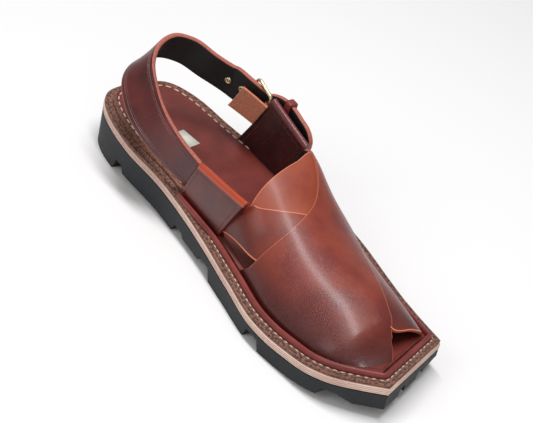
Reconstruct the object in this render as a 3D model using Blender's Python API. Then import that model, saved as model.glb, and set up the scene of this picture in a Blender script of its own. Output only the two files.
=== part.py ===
# Peshawari chappal, left shoe: crossed vamp straps, folded ears and a buckled back strap on a cleated sole.
# Metres, +Z up. The toe points to -Y, the outer side of the foot is +X. Heights start at the floor.

import math

import bmesh
import bpy
from mathutils import Vector

# Driving sizes
LENGTH = 0.298              # back of the heel to the tip of the toe
BALL_WIDTH = 0.1069         # widest place of the sole
HEEL_HEIGHT = 0.0293        # floor to the top of the pale band at the back
BALL_HEIGHT = 0.0141        # floor to the top of the pale band under the toes' roots
TOE_SPRING = 0.0078         # rise of the sole at the tip of the toe
CLEAT_DEPTH = 0.0085        # deepest notch of the outsole
CLEAT_REACH = 0.024         # how far a side notch runs in under the sole
BAND_THICKNESS = 0.0045     # pale midsole
WELT_THICKNESS = 0.0022
PIPING_WIDTH = 0.0035
PIPING_HEIGHT = 0.0030
PIPING_CLEARANCE = 0.0008   # foot of the upper to the piping
INSOLE_THICKNESS = 0.0016
INSOLE_CLEARANCE = 0.0013   # wall of the upper to the insole's edge
INSTEP_HEIGHT = 0.0480      # welt to the top of the tongue
UPPER_WALL = 0.0020         # one strap of the upper
OVERLAP_STEP = 0.0011       # how far the over strap stands above the under strap
TONGUE_WALL = 0.0020
TONGUE_SEAT = -0.0004       # inner face of the tongue from the last
EAR_WALL = 0.0044           # leather folded double
STRAP_WIDTH = 0.0240
STRAP_WALL = 0.0030         # lined back strap
WIRE_RADIUS = 0.0011        # buckle frame
FRAME_REACH = 0.0160        # fixed bar to far bar
PRONG_RADIUS = 0.0008
EYELET_BORE = 0.0011        # radius
EYELET_WALL = 0.0005
EYELET_FLANGE = 0.0009      # how far the rolled rim stands out past the wall
RIM_THICKNESS = 0.0005
EYELET_SEAT = 0.0005        # strap's face to the eyelet's rim
KEEPER_WIDTH = 0.0052
KEEPER_WALL = 0.0011
KEEPER_CLEARANCE = 0.0006   # keeper to the tail inside it
GUARD_WALL = 0.0016
GUARD_LENGTH = 0.0150
GUARD_HEIGHT = 0.0200
GAP = 0.0003                # clearance between pieces that meet
FRAME_CLEARANCE = 0.0006    # strap edge to the frame's side wires
FRAME_CORNER = 0.0032       # bend radius of the frame's wire
BAR_SETBACK = 0.0016        # ear's back edge to the middle of the fixed bar
SLEEVE_RADIUS = 0.0026
SLEEVE_SIDES = 14
EAR_BAR_PLACE = 0.685       # share of the outer ear's back edge where the middle of the buckle's bar lies
TAIL_PROUD = 0.0015         # how far the tail's edge stands above the ear's crest
TAIL_TIP = 0.0120           # length of the tail's rounded end
PRONG_HOLE = (0.0040, 0.0020)   # half length along the strap and half width
EYELET_PITCH = 0.0116
EYELET_PLACES = (-2.0, -1.0)        # pitches from the prong's hole, towards the heel
KEEPER_PLACE = 1.07         # prong's hole to the keeper, as a share of STRAP_WIDTH
GUARD_START = 0.0022        # fixed bar to the guard's front edge
GUARD_DROP = 0.0030
STRAP_STEPS = 64
PIPING_STEP = 0.0070
SMOOTH_ANGLE = 50.0         # degrees: edges sharper than this stay crisp

# Places on the sole
HEEL_INSOLE_INSET = 0.0055  # band edge to the insole, round the heel
WELT_INSET = 0.0005
STATIONS = 44               # cross sections of each layer of the sole


def table(names, rows):
    """One list for each named column."""
    return {name: [row[i] for row in rows] for i, name in enumerate(names.split())}


# Half outlines: at is a share of LENGTH from the heel, side a share of BALL_WIDTH
INNER_EDGE = table("at side", [
    (0.000, -0.007), (0.004, -0.118), (0.013, -0.200), (0.025, -0.242), (0.040, -0.272), (0.065, -0.303),
    (0.100, -0.328), (0.185, -0.349), (0.336, -0.331),
    (0.503, -0.371), (0.621, -0.425), (0.730, -0.469), (0.822, -0.446), (0.889, -0.411), (0.923, -0.366),
    (0.960, -0.278), (1.000, -0.166)])
OUTER_EDGE = table("at side", [
    (0.000, -0.007), (0.004, 0.112), (0.013, 0.196), (0.025, 0.236), (0.040, 0.265), (0.065, 0.296),
    (0.100, 0.325), (0.201, 0.369), (0.302, 0.420),
    (0.403, 0.492), (0.527, 0.531), (0.638, 0.511), (0.738, 0.463), (0.839, 0.411), (0.928, 0.358)])

# Top of the band: fall is a share of HEEL_HEIGHT - BALL_HEIGHT, spring a share of TOE_SPRING
DECK = table("at fall spring", [
    (0.000, 1.000, 0.00), (0.100, 0.868, 0.00), (0.201, 0.690, 0.00), (0.302, 0.560, 0.00),
    (0.403, 0.401, 0.00), (0.503, 0.243, 0.00), (0.621, 0.105, 0.00), (0.688, 0.040, 0.00),
    (0.780, 0.000, 0.00), (0.845, 0.000, 0.16), (0.906, 0.000, 0.47), (1.000, 0.000, 1.00)])

# Underside, side by side from the heel: edge and middle are shares of CLEAT_DEPTH above the tread line
CLEATS = table("start end edge_start edge_end middle", [
    (0.000, 0.152, 0.00, 0.00, 0.00), (0.158, 0.180, 1.00, 1.00, 1.00), (0.188, 0.380, 0.47, 0.06, 0.47),
    (0.390, 0.420, 0.72, 0.72, 0.47), (0.428, 0.494, 0.42, 0.42, 0.47), (0.503, 0.540, 0.88, 0.88, 0.47),
    (0.550, 0.709, 0.00, 0.00, 0.00), (0.717, 0.751, 0.80, 0.80, 0.35), (0.759, 0.904, 0.00, 0.00, 0.00),
    (0.911, 0.932, 0.55, 0.55, 0.30), (0.940, 0.999, 0.00, 0.00, 0.00)])

# Foot of the upper: inset from the band edge to its outer face, as shares of BALL_WIDTH
RIM = table("at inner outer", [
    (0.200, 0.030, 0.020), (0.250, 0.032, 0.029), (0.322, 0.035, 0.068), (0.385, 0.041, 0.105),
    (0.440, 0.056, 0.112), (0.510, 0.079, 0.108), (0.600, 0.086, 0.098), (0.700, 0.085, 0.086),
    (0.800, 0.084, 0.084), (1.000, 0.084, 0.084)])

# The last above the welt: height is a share of INSTEP_HEIGHT, ridge and tuck shares of BALL_WIDTH,
# tuck draws the outer flank in from the rim, inner and outer say how square the flanks are (2 is an ellipse)
LAST = table("at height ridge tuck inner outer", [
    (0.370, 0.93, 0.200, 0.040, 3.0, 4.0), (0.476, 0.94, 0.185, 0.070, 3.0, 4.0),
    (0.503, 0.93, 0.150, 0.066, 2.8, 3.4), (0.554, 0.84, 0.080, 0.042, 2.4, 2.4),
    (0.604, 0.69, 0.024, 0.004, 2.0, 2.0), (0.654, 0.60, -0.012, 0.000, 1.8, 1.85),
    (0.705, 0.545, -0.024, 0.000, 1.7, 1.85), (0.755, 0.515, -0.010, 0.000, 1.7, 1.85),
    (0.805, 0.480, 0.000, 0.000, 1.7, 1.85), (0.856, 0.390, 0.005, 0.000, 1.7, 1.85),
    (0.903, 0.245, -0.010, 0.000, 1.8, 1.9), (0.930, 0.135, -0.065, 0.000, 1.8, 1.9),
    (0.946, 0.035, -0.110, 0.000, 1.8, 1.9), (0.962, 0.005, -0.150, 0.000, 1.8, 1.9)])

# Straps of the upper: two edges, each with at along the shoe and turn round the last,
# where turn is -1 at the inner foot, 0 on the ridge and 1 at the outer foot
OVER_STRAP = table("at_a turn_a at_b turn_b", [
    (0.462, 0.50, 0.396, 0.94), (0.490, 0.40, 0.455, 0.90), (0.520, 0.33, 0.520, 0.84),
    (0.560, 0.24, 0.590, 0.75), (0.598, 0.11, 0.655, 0.63), (0.624, -0.06, 0.711, 0.50),
    (0.638, -0.30, 0.758, 0.40), (0.639, -0.60, 0.799, 0.31), (0.632, -0.84, 0.832, 0.23),
    (0.611, -1.00, 0.859, 0.17), (0.671, -1.00, 0.883, 0.12), (0.755, -1.00, 0.903, 0.08),
    (0.839, -1.00, 0.917, 0.20), (0.899, -1.00, 0.932, 0.50), (0.927, -1.00, 0.943, 0.85),
    (0.944, -1.00, 0.948, 1.00)])
UNDER_STRAP = table("at_a turn_a at_b turn_b", [
    (0.553, -0.50, 0.508, -0.93), (0.566, -0.45, 0.540, -0.87), (0.583, -0.33, 0.577, -0.82),
    (0.602, -0.15, 0.628, -0.75), (0.618, 0.05, 0.671, -0.62), (0.624, 0.25, 0.715, -0.48),
    (0.624, 0.45, 0.758, -0.35), (0.617, 0.70, 0.799, -0.22), (0.600, 1.00, 0.839, -0.10),
    (0.671, 1.00, 0.872, 0.00), (0.755, 1.00, 0.903, 0.12), (0.839, 1.00, 0.905, 0.45),
    (0.895, 1.00, 0.904, 0.90)])
TONGUE = table("at_a turn_a at_b turn_b", [
    (0.552, -0.60, 0.640, -0.45), (0.537, -0.40, 0.652, -0.30), (0.524, -0.20, 0.660, -0.15),
    (0.512, -0.02, 0.662, 0.00), (0.503, 0.14, 0.655, 0.15), (0.494, 0.28, 0.640, 0.30),
    (0.485, 0.42, 0.620, 0.42), (0.478, 0.56, 0.590, 0.56)])

# Ears: ends of the foot and of the crest as shares of LENGTH, crest sides and the swell of the face as
# shares of BALL_WIDTH, crest heights as shares of INSTEP_HEIGHT above the welt
EARS = {
    "ear_inner": {"is_inner": True, "foot": (0.369, 0.508), "crest": (0.401, 0.557), "side": (-0.266, -0.262),
                  "height": (0.610, 0.745), "swell": -0.010},
    "ear_outer": {"is_inner": False, "foot": (0.245, 0.386), "crest": (0.322, 0.454), "side": (0.348, 0.348),
                  "height": (0.963, 0.823), "swell": 0.010},
}
# Materials: colour, roughness and metal share
MATERIALS = {
    "outsole": ((0.030, 0.030, 0.033), 0.75, 0.0), "midsole": ((0.720, 0.520, 0.430), 0.60, 0.0),
    "welt": ((0.150, 0.035, 0.025), 0.55, 0.0), "piping": ((0.170, 0.030, 0.022), 0.45, 0.0),
    "insole": ((0.130, 0.032, 0.025), 0.50, 0.0), "upper": ((0.260, 0.060, 0.032), 0.32, 0.0),
    "ear_inner": ((0.230, 0.050, 0.028), 0.35, 0.0), "ear_outer": ((0.090, 0.018, 0.020), 0.35, 0.0),
    "back_strap": ((0.170, 0.032, 0.024), 0.38, 0.0), "buckle_frame": ((0.780, 0.680, 0.450), 0.25, 1.0),
    "buckle_prong": ((0.780, 0.680, 0.450), 0.25, 1.0), "keeper": ((0.220, 0.050, 0.028), 0.40, 0.0),
    "buckle_guard": ((0.520, 0.190, 0.080), 0.85, 0.0), "eyelet": ((0.780, 0.640, 0.360), 0.30, 1.0),
}
ROUND_PIECES = ("piping", "upper", "ear_inner", "ear_outer", "back_strap", "buckle_frame", "buckle_prong",
                "eyelet")

# Back strap from the inner ear to the buckle: centre line (at of LENGTH, side of BALL_WIDTH, rise of
# INSTEP_HEIGHT above the floor) and the direction across it, from the lower edge to the upper one
BACK_STRAP = table("at side rise lean_at lean_side lean_up", [
    (0.3855, -0.268, 0.850, 0.29, -0.02, 0.957), (0.333, -0.323, 0.995, 0.37, 0.15, 0.90),
    (0.287, -0.358, 1.133, 0.35, 0.35, 0.87), (0.202, -0.336, 1.315, 0.37, 0.62, 0.69),
    (0.152, -0.282, 1.479, 0.47, 0.52, 0.70), (0.121, -0.150, 1.629, 0.48, 0.23, 0.85),
    (0.110, -0.028, 1.629, 0.45, 0.19, 0.88), (0.125, 0.082, 1.571, 0.45, 0.15, 0.88),
    (0.164, 0.180, 1.446, 0.48, 0.10, 0.87), (0.205, 0.275, 1.340, 0.48, 0.07, 0.87)])
FRAME_LEAN = Vector((-0.10, 0.88, 0.46))   # from the fixed bar to the far bar, as side, back, up


def centre_side():
    """Middle of the sole's width, which lies on the world's X = 0."""
    return (min(INNER_EDGE["side"]) + max(OUTER_EDGE["side"])) / 2.0 * BALL_WIDTH


def slopes(xs, ys):
    """Slopes of a smooth curve through the points, level nowhere by force."""
    steps = [(ys[i + 1] - ys[i]) / (xs[i + 1] - xs[i]) for i in range(len(xs) - 1)]
    inner = []
    for i in range(1, len(xs) - 1):
        before = xs[i] - xs[i - 1]
        after = xs[i + 1] - xs[i]
        inner.append((steps[i - 1] * after + steps[i] * before) / (before + after))
    return [steps[0]] + inner + [steps[-1]]


def curve_value(xs, ys, x):
    """Smooth curve through a column of a table, held at its ends."""
    if x <= xs[0]:
        return ys[0]
    if x >= xs[-1]:
        return ys[-1]
    tangents = slopes(xs, ys)
    i = max(k for k in range(len(xs) - 1) if xs[k] <= x)
    width = xs[i + 1] - xs[i]
    t = (x - xs[i]) / width
    return ((2 * t ** 3 - 3 * t ** 2 + 1) * ys[i] + (t ** 3 - 2 * t ** 2 + t) * width * tangents[i]
            + (3 * t ** 2 - 2 * t ** 3) * ys[i + 1] + (t ** 3 - t ** 2) * width * tangents[i + 1])


def read(rows, name, at):
    return curve_value(rows["at"], rows[name], at)


def edge_side(edge, at):
    """Half outline, read against the root of at so that the heel comes out round."""
    roots = [math.sqrt(value) for value in edge["at"]]
    return curve_value(roots, edge["side"], math.sqrt(max(at, 0.0))) * BALL_WIDTH


def place(along, side, height):
    """World point of a place along the shoe, across it and above the floor."""
    return Vector((side - centre_side(), LENGTH / 2.0 - along, height))


def deck(along):
    """Top of the pale band."""
    at = along / LENGTH
    fall = read(DECK, "fall", at) * (HEEL_HEIGHT - BALL_HEIGHT)
    return BALL_HEIGHT + fall + tread_line(along)


def tread_line(along):
    """Lowest line of the sole: on the floor, then up at the toe."""
    return max(read(DECK, "spring", along / LENGTH), 0.0) * TOE_SPRING


def outline(inset):
    """Closed outline up the inner side and back down the outer side, moved in by inset(at, is_inner)."""
    count = 90
    inner_tip = INNER_EDGE["at"][-1]
    outer_tip = OUTER_EDGE["at"][-1]
    points = []
    for i in range(count + 1):
        at = inner_tip * (i / count) ** 1.6
        points.append((at * LENGTH, edge_side(INNER_EDGE, at), True))
    for i in range(count, 0, -1):
        at = outer_tip * (i / count) ** 1.6
        points.append((at * LENGTH, edge_side(OUTER_EDGE, at), False))
    moved = []
    for i, (along, side, is_inner) in enumerate(points):
        before = points[i - 1]
        after = points[(i + 1) % len(points)]
        first = Vector((along - before[0], side - before[1])).normalized()
        second = Vector((after[0] - along, after[1] - side)).normalized()
        first_normal = Vector((-first.y, first.x))
        second_normal = Vector((-second.y, second.x))
        bisector = (first_normal + second_normal).normalized()
        distance = inset(along / LENGTH, is_inner) / max(bisector.dot(first_normal), 0.3)
        moved.append((along + bisector.x * distance, side + bisector.y * distance))
    return moved, count


def span(points, along):
    """Lowest and highest side where the outline crosses one station."""
    sides = []
    for i, (a, side_a) in enumerate(points):
        b, side_b = points[(i + 1) % len(points)]
        if (a - along) * (b - along) <= 0.0 and a != b:
            sides.append(side_a + (side_b - side_a) * (along - a) / (b - a))
    return min(sides), max(sides)


def stations(points, count):
    """Places along a layer: close together at the heel's round, with one at the outer toe corner."""
    low = min(point[0] for point in points)
    high = max(point[0] for point in points)
    corner = points[count + 1][0]
    places = [low + (high - low) * (i / STATIONS) ** 1.8 for i in range(STATIONS + 1)]
    nearest = min(range(1, STATIONS), key=lambda i: abs(places[i] - corner))
    places[nearest] = corner
    places[0] = low
    places[-1] = high
    return places


def loft(name, rings, closed_ends=True, ring_is_loop=False):
    """Skin a row of rings with equal counts, cap both ends and merge what coincides."""
    mesh = bpy.data.meshes.new(name)
    bm = bmesh.new()
    grid = [[bm.verts.new(point) for point in ring] for ring in rings]
    size = len(rings[0])
    pairs = list(zip(grid, grid[1:]))
    if ring_is_loop:
        pairs.append((grid[-1], grid[0]))
    for before, after in pairs:
        for k in range(size):
            following = (k + 1) % size
            bm.faces.new((before[k], before[following], after[following], after[k]))
    if closed_ends and not ring_is_loop:
        bm.faces.new(list(reversed(grid[0])))
        bm.faces.new(grid[-1])
    bmesh.ops.remove_doubles(bm, verts=bm.verts, dist=0.00001)
    bmesh.ops.dissolve_degenerate(bm, edges=bm.edges, dist=0.00001)
    bmesh.ops.recalc_face_normals(bm, faces=bm.faces)
    bmesh.ops.triangulate(bm, faces=[face for face in bm.faces if len(face.verts) > 4])
    bm.to_mesh(mesh)
    bm.free()
    return add_object(name, mesh)


def add_object(name, mesh):
    piece = bpy.data.objects.new(name, mesh)
    bpy.context.collection.objects.link(piece)
    return piece


def layer(name, inset, top, bottom):
    """A layer of the sole between two heights, inside the outline."""
    points, count = outline(inset)
    rings = []
    for along in stations(points, count):
        inner, outer = span(points, along)
        rings.append([place(along, inner, top(along)), place(along, outer, top(along)),
                      place(along, outer, bottom(along)), place(along, inner, bottom(along))])
    return loft(name, rings)


def cleat_lift(along, column):
    """Height of the underside above the tread line, straight between the ends of neighbouring cleats."""
    at = along / LENGTH
    knots = []
    for i in range(len(CLEATS["start"])):
        if column == "edge":
            ends = (CLEATS["edge_start"][i], CLEATS["edge_end"][i])
        else:
            ends = (CLEATS["middle"][i], CLEATS["middle"][i])
        knots.append((CLEATS["start"][i], ends[0]))
        knots.append((CLEATS["end"][i], ends[1]))
    for (a, lift_a), (b, lift_b) in zip(knots, knots[1:]):
        if a <= at <= b:
            return (lift_a + (lift_b - lift_a) * (at - a) / (b - a)) * CLEAT_DEPTH
    return knots[-1][1] * CLEAT_DEPTH


def make_outsole():
    points, count = outline(lambda at, is_inner: 0.0)
    places = set(stations(points, count))
    for column in ("start", "end"):
        places.update(value * LENGTH for value in CLEATS[column][1:-1])
    rings = []
    for along in sorted(places):
        inner, outer = span(points, along)
        reach = min(CLEAT_REACH, (outer - inner) * 0.32)
        slope = min(0.003, (outer - inner) * 0.05)
        top = deck(along) - BAND_THICKNESS - GAP
        edge = tread_line(along) + cleat_lift(along, "edge")
        middle = tread_line(along) + cleat_lift(along, "middle")
        rings.append([
            place(along, inner, top), place(along, outer, top),
            place(along, outer, edge), place(along, outer - reach, edge),
            place(along, outer - reach - slope, middle), place(along, inner + reach + slope, middle),
            place(along, inner + reach, edge), place(along, inner, edge)])
    sole = loft("outsole", rings)
    inner_tip, outer_tip = points[count], points[count + 1]
    for share in (0.33, 0.67):
        along = inner_tip[0] + (outer_tip[0] - inner_tip[0]) * share
        side = inner_tip[1] + (outer_tip[1] - inner_tip[1]) * share
        cutter = toe_notch_cutter(along, side, (inner_tip, outer_tip))
        cut(sole, cutter)
    return sole


def toe_notch_cutter(along, side, front_edge):
    """A wedge across the front edge, wider at the floor."""
    (along_a, side_a), (along_b, side_b) = front_edge
    direction = Vector((along_b - along_a, side_b - side_a)).normalized()
    across = Vector((direction.y, -direction.x))
    if across.x < 0.0:
        across = -across
    top = tread_line(along) + CLEAT_DEPTH * 0.55
    rings = []
    for depth in (-CLEAT_DEPTH * 1.3, CLEAT_DEPTH):
        ring = []
        for reach, height in ((-0.0045, -0.002), (0.0045, -0.002), (0.0028, top), (-0.0028, top)):
            a = along + direction.x * reach + across.x * depth
            s = side + direction.y * reach + across.y * depth
            ring.append(place(a, s, height))
        rings.append(ring)
    return loft("toe_notch_cutter", rings)


def cut(piece, cutter):
    cutter.hide_render = True
    cutter.display_type = "WIRE"
    modifier = piece.modifiers.new("cut by " + cutter.name, "BOOLEAN")
    modifier.operation = "DIFFERENCE"
    modifier.solver = "EXACT"
    modifier.object = cutter


def join(piece, other):
    other.hide_render = True
    other.display_type = "WIRE"
    modifier = piece.modifiers.new("join " + other.name, "BOOLEAN")
    modifier.operation = "UNION"
    modifier.solver = "EXACT"
    modifier.object = other


def welt_top(along):
    return deck(along) + GAP + WELT_THICKNESS


def make_midsole():
    return layer("midsole", lambda at, is_inner: 0.0, deck, lambda along: deck(along) - BAND_THICKNESS)


def make_welt():
    return layer("welt", lambda at, is_inner: WELT_INSET, welt_top, lambda along: deck(along) + GAP)


def rim_inset(at, is_inner):
    """Band edge to the foot of the upper's outer face."""
    return read(RIM, "inner" if is_inner else "outer", at) * BALL_WIDTH


def insole_inset(at, is_inner):
    """Inside the ears and the upper's wall, close to the band edge round the heel."""
    ear = EARS["ear_inner" if is_inner else "ear_outer"]
    start, end = ear["foot"]
    blend = 0.05
    upper_depth = UPPER_WALL + OVERLAP_STEP
    wall = EAR_WALL + (upper_depth - EAR_WALL) * min(max((at - end) / blend, 0.0), 1.0)
    forward = rim_inset(at, is_inner) + wall + INSOLE_CLEARANCE
    share = min(max((at - start + blend) / blend, 0.0), 1.0)
    return HEEL_INSOLE_INSET + (max(forward, HEEL_INSOLE_INSET) - HEEL_INSOLE_INSET) * share


def make_insole():
    return layer("insole", insole_inset, lambda along: welt_top(along) + GAP + INSOLE_THICKNESS,
                 lambda along: welt_top(along) + GAP)


RIM_OUTLINE = {}


def foot_side(along, is_inner, depth=0.0):
    """Side of the upper's foot at a station, or of a line a depth inside it."""
    if depth not in RIM_OUTLINE:
        RIM_OUTLINE[depth] = outline(lambda at, side_is_inner: rim_inset(at, side_is_inner) + depth)[0]
    points = RIM_OUTLINE[depth]
    low, high = span(points, min(along, max(point[0] for point in points) - 0.0001))
    return low if is_inner else high


def last_point(at, turn):
    """Point on the last, turned from the inner foot (-1) over the ridge (0) to the outer foot (1)."""
    along = at * LENGTH
    is_inner = turn < 0.0
    foot = foot_side(along, is_inner, UPPER_WALL + OVERLAP_STEP)
    if not is_inner:
        foot -= read(LAST, "tuck", at) * BALL_WIDTH
    ridge = read(LAST, "ridge", at) * BALL_WIDTH
    square = read(LAST, "inner" if is_inner else "outer", at)
    height = read(LAST, "height", at) * INSTEP_HEIGHT
    angle = (1.0 - abs(turn)) * math.pi / 2.0
    across = abs(math.cos(angle))
    up = abs(math.sin(angle))
    size = (across ** square + up ** square) ** (-1.0 / square)
    base = welt_top(along) + GAP
    return Vector((ridge + (foot - ridge) * across * size, along, base + height * up * size))


def last_normal(at, turn):
    step = 0.004
    forward = last_point(at + step, turn) - last_point(at - step, turn)
    low = max(turn - 0.03, -1.0)
    high = min(turn + 0.03, 1.0)
    sideways = last_point(at, high) - last_point(at, low)
    normal = forward.cross(sideways)
    if normal.z < 0.0 and abs(turn) < 0.8:
        normal = -normal
    if abs(turn) >= 0.8 and normal.x * turn < 0.0:
        normal = -normal
    return normal.normalized()


def upper_point(at, turn, offset):
    """World point at an offset outside the last."""
    point = last_point(at, turn) + last_normal(at, turn) * offset
    floor = welt_top(point.y) + GAP
    return place(point.y, point.x, max(point.z, floor))


def panel(name, rows, across, per_row, offset, wall):
    """A strap as a closed sheet: rows run between its two edges, from offset to offset + wall."""
    knots = list(range(len(rows["at_a"])))
    count = (len(knots) - 1) * per_row
    outer, inner = [], []
    for i in range(count + 1):
        t = i / per_row
        edge = {column: curve_value(knots, rows[column], t) for column in rows}
        outer_row, inner_row = [], []
        for k in range(across + 1):
            share = k / across
            at = edge["at_a"] + (edge["at_b"] - edge["at_a"]) * share
            turn = edge["turn_a"] + (edge["turn_b"] - edge["turn_a"]) * share
            turn = min(max(turn, -1.0), 1.0)
            outer_row.append(upper_point(at, turn, offset + wall))
            inner_row.append(upper_point(at, turn, offset))
        outer.append(outer_row)
        inner.append(inner_row)
    rings = [top + list(reversed(bottom)) for top, bottom in zip(outer, inner)]
    return loft(name, rings)


def make_upper():
    upper = panel("upper", UNDER_STRAP, 10, 2, 0.0, UPPER_WALL)
    over = panel("over_strap", OVER_STRAP, 11, 2, OVERLAP_STEP, UPPER_WALL)
    tongue = panel("tongue", TONGUE, 8, 2, TONGUE_SEAT, TONGUE_WALL)
    join(upper, over)
    join(upper, tongue)
    return upper


def ear_middle(ear, along_share, up_share):
    """Middle of an ear's leather: along_share from its back to its front edge, up_share from foot to crest."""
    foot_along = (ear["foot"][0] + (ear["foot"][1] - ear["foot"][0]) * along_share) * LENGTH
    crest_along = (ear["crest"][0] + (ear["crest"][1] - ear["crest"][0]) * along_share) * LENGTH
    inward = 1.0 if ear["is_inner"] else -1.0
    foot = foot_side(foot_along, ear["is_inner"]) + inward * EAR_WALL / 2.0
    crest = (ear["side"][0] + (ear["side"][1] - ear["side"][0]) * along_share) * BALL_WIDTH
    height = (ear["height"][0] + (ear["height"][1] - ear["height"][0]) * along_share) * INSTEP_HEIGHT
    low = welt_top(foot_along) + GAP
    high = welt_top(crest_along) + height - EAR_WALL / 2.0
    swell = ear["swell"] * BALL_WIDTH * 4.0 * up_share * (1.0 - up_share)
    return place(foot_along + (crest_along - foot_along) * up_share,
                 foot + (crest - foot) * up_share + swell, low + (high - low) * up_share)


def make_ear(name, side, room=0.0):
    """An ear, or the room it takes up: the same shape, larger all round."""
    ear = EARS[side]
    columns, rows, crest_steps = 8, 5, 4
    radius = EAR_WALL / 2.0 + room
    extra = room / ((ear["foot"][1] - ear["foot"][0]) * LENGTH)
    half = Vector((radius, 0.0, 0.0))
    rings = []
    for i in range(columns + 1):
        share = (1.0 + 2.0 * extra) * i / columns - extra
        middle = [ear_middle(ear, share, k / rows) for k in range(rows + 1)]
        middle[0].z -= room
        ring = [point + half for point in middle]
        for k in range(1, crest_steps):
            angle = math.pi * k / crest_steps
            ring.append(middle[-1] + Vector((math.cos(angle), 0.0, math.sin(angle))) * radius)
        ring += [point - half for point in reversed(middle)]
        rings.append(ring)
    return loft(name, rings)


def buckle_axes():
    """Middle of the fixed bar, its direction, the reach to the far bar and the way out of the shoe."""
    ear = EARS["ear_outer"]
    low = ear_middle(ear, 0.0, EAR_BAR_PLACE - 0.3)
    high = ear_middle(ear, 0.0, EAR_BAR_PLACE + 0.3)
    bar = (high - low).normalized()
    reach = FRAME_LEAN - bar * FRAME_LEAN.dot(bar)
    reach.normalize()
    out = bar.cross(reach)
    if out.x < 0.0:
        out = -out
    return ear_middle(ear, 0.0, EAR_BAR_PLACE) + reach * BAR_SETBACK, bar, reach, out


def tube(name, path, radius, sides, closed):
    """A round bar along points, with rings square to the path."""
    rings = []
    count = len(path)
    normal = None
    for i, point in enumerate(path):
        before = path[i - 1] if closed or i > 0 else point
        after = path[(i + 1) % count] if closed or i < count - 1 else point
        tangent = (after - before).normalized()
        if normal is None:
            normal = tangent.orthogonal().normalized()
        normal = (normal - tangent * normal.dot(tangent)).normalized()
        binormal = tangent.cross(normal)
        rings.append([point + (normal * math.cos(2.0 * math.pi * k / sides)
                               + binormal * math.sin(2.0 * math.pi * k / sides)) * radius
                      for k in range(sides)])
    return loft(name, rings, ring_is_loop=closed)


def make_buckle_frame():
    middle, bar, reach, out = buckle_axes()
    half = STRAP_WIDTH / 2.0 + FRAME_CLEARANCE + WIRE_RADIUS
    corner = FRAME_CORNER
    path = []
    corners = [(half, 0.0, 1, 1), (half, FRAME_REACH, 1, -1), (-half, FRAME_REACH, -1, -1), (-half, 0.0, -1, 1)]
    for index, (across, far, side, inward) in enumerate(corners):
        start = (0.0, 90.0, 180.0, 270.0)[index]
        centre_across = across - side * corner
        centre_far = far + inward * corner
        for step in range(5):
            angle = math.radians(start - 90.0 + 90.0 * step / 4.0)
            path.append(middle + bar * (centre_across + corner * math.cos(angle))
                        + reach * (centre_far + corner * math.sin(angle)))
    return tube("buckle_frame", path, WIRE_RADIUS, 8, True)


def sleeve(length, radius, name):
    """A bar round the buckle's fixed bar."""
    middle, bar, reach, out = buckle_axes()
    ends = [middle - bar * length / 2.0, middle + bar * length / 2.0]
    rings = []
    for end in ends:
        rings.append([end + (reach * math.cos(2.0 * math.pi * k / SLEEVE_SIDES)
                             + out * math.sin(2.0 * math.pi * k / SLEEVE_SIDES)) * radius
                      for k in range(SLEEVE_SIDES)])
    return loft(name, rings)


def make_ear_outer():
    """The outer ear ends in a sleeve that holds the buckle's fixed bar, open in the middle for the prong."""
    ear = make_ear("ear_outer", "ear_outer")
    middle, bar, reach, out = buckle_axes()
    join(ear, sleeve(STRAP_WIDTH - 2.0 * FRAME_CORNER, SLEEVE_RADIUS, "bar_sleeve"))
    cut(ear, sleeve(STRAP_WIDTH + 4.0 * WIRE_RADIUS + 2.0 * FRAME_CLEARANCE + 2.0 * GAP,
                    WIRE_RADIUS + GAP, "bar_channel"))
    slot = []
    half = PRONG_RADIUS + 2.0 * GAP
    for far in (-(WIRE_RADIUS + 2.0 * PRONG_RADIUS + 3.0 * GAP), 2.0 * SLEEVE_RADIUS):
        slot.append([middle + reach * far + bar * across + out * side
                     for across, side in ((-half, -2.0 * SLEEVE_RADIUS), (half, -2.0 * SLEEVE_RADIUS),
                                          (half, 2.0 * SLEEVE_RADIUS), (-half, 2.0 * SLEEVE_RADIUS))])
    cut(ear, loft("prong_slot", slot))
    return ear


def tail_point(along_share):
    """Centre of the strap's tail where it lies outside the outer ear."""
    ear = EARS["ear_outer"]
    crest = ear_middle(ear, along_share, 1.0) + Vector((0.0, 0.0, EAR_WALL / 2.0 + TAIL_PROUD))
    down = (ear_middle(ear, along_share, 0.0) - ear_middle(ear, along_share, 1.0)).normalized()
    stand_off = (EAR_WALL / 2.0 + abs(ear["swell"]) * BALL_WIDTH + GAP + KEEPER_WALL + KEEPER_CLEARANCE
                 + STRAP_WALL / 2.0)
    return crest + down * STRAP_WIDTH / 2.0 + Vector((stand_off, 0.0, 0.0)), -down


def strap_knots():
    """Centre points and upward directions of the back strap, from the inner ear to the tail's end."""
    knots = []
    for i in range(len(BACK_STRAP["at"])):
        row = {name: BACK_STRAP[name][i] for name in BACK_STRAP}
        knots.append((place(row["at"] * LENGTH, row["side"] * BALL_WIDTH, row["rise"] * INSTEP_HEIGHT),
                      Vector((row["lean_side"], -row["lean_at"], row["lean_up"]))))
    middle, bar, reach, out = buckle_axes()
    under = WIRE_RADIUS + GAP + STRAP_WALL / 2.0 + GAP
    over = SLEEVE_RADIUS + 2.0 * GAP + STRAP_WALL / 2.0
    knots.append((middle + reach * FRAME_REACH - out * under, bar))
    knots.append((middle + out * over, bar))
    for share in (0.30, 0.65, 1.0):
        knots.append(tail_point(share))
    return knots


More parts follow.
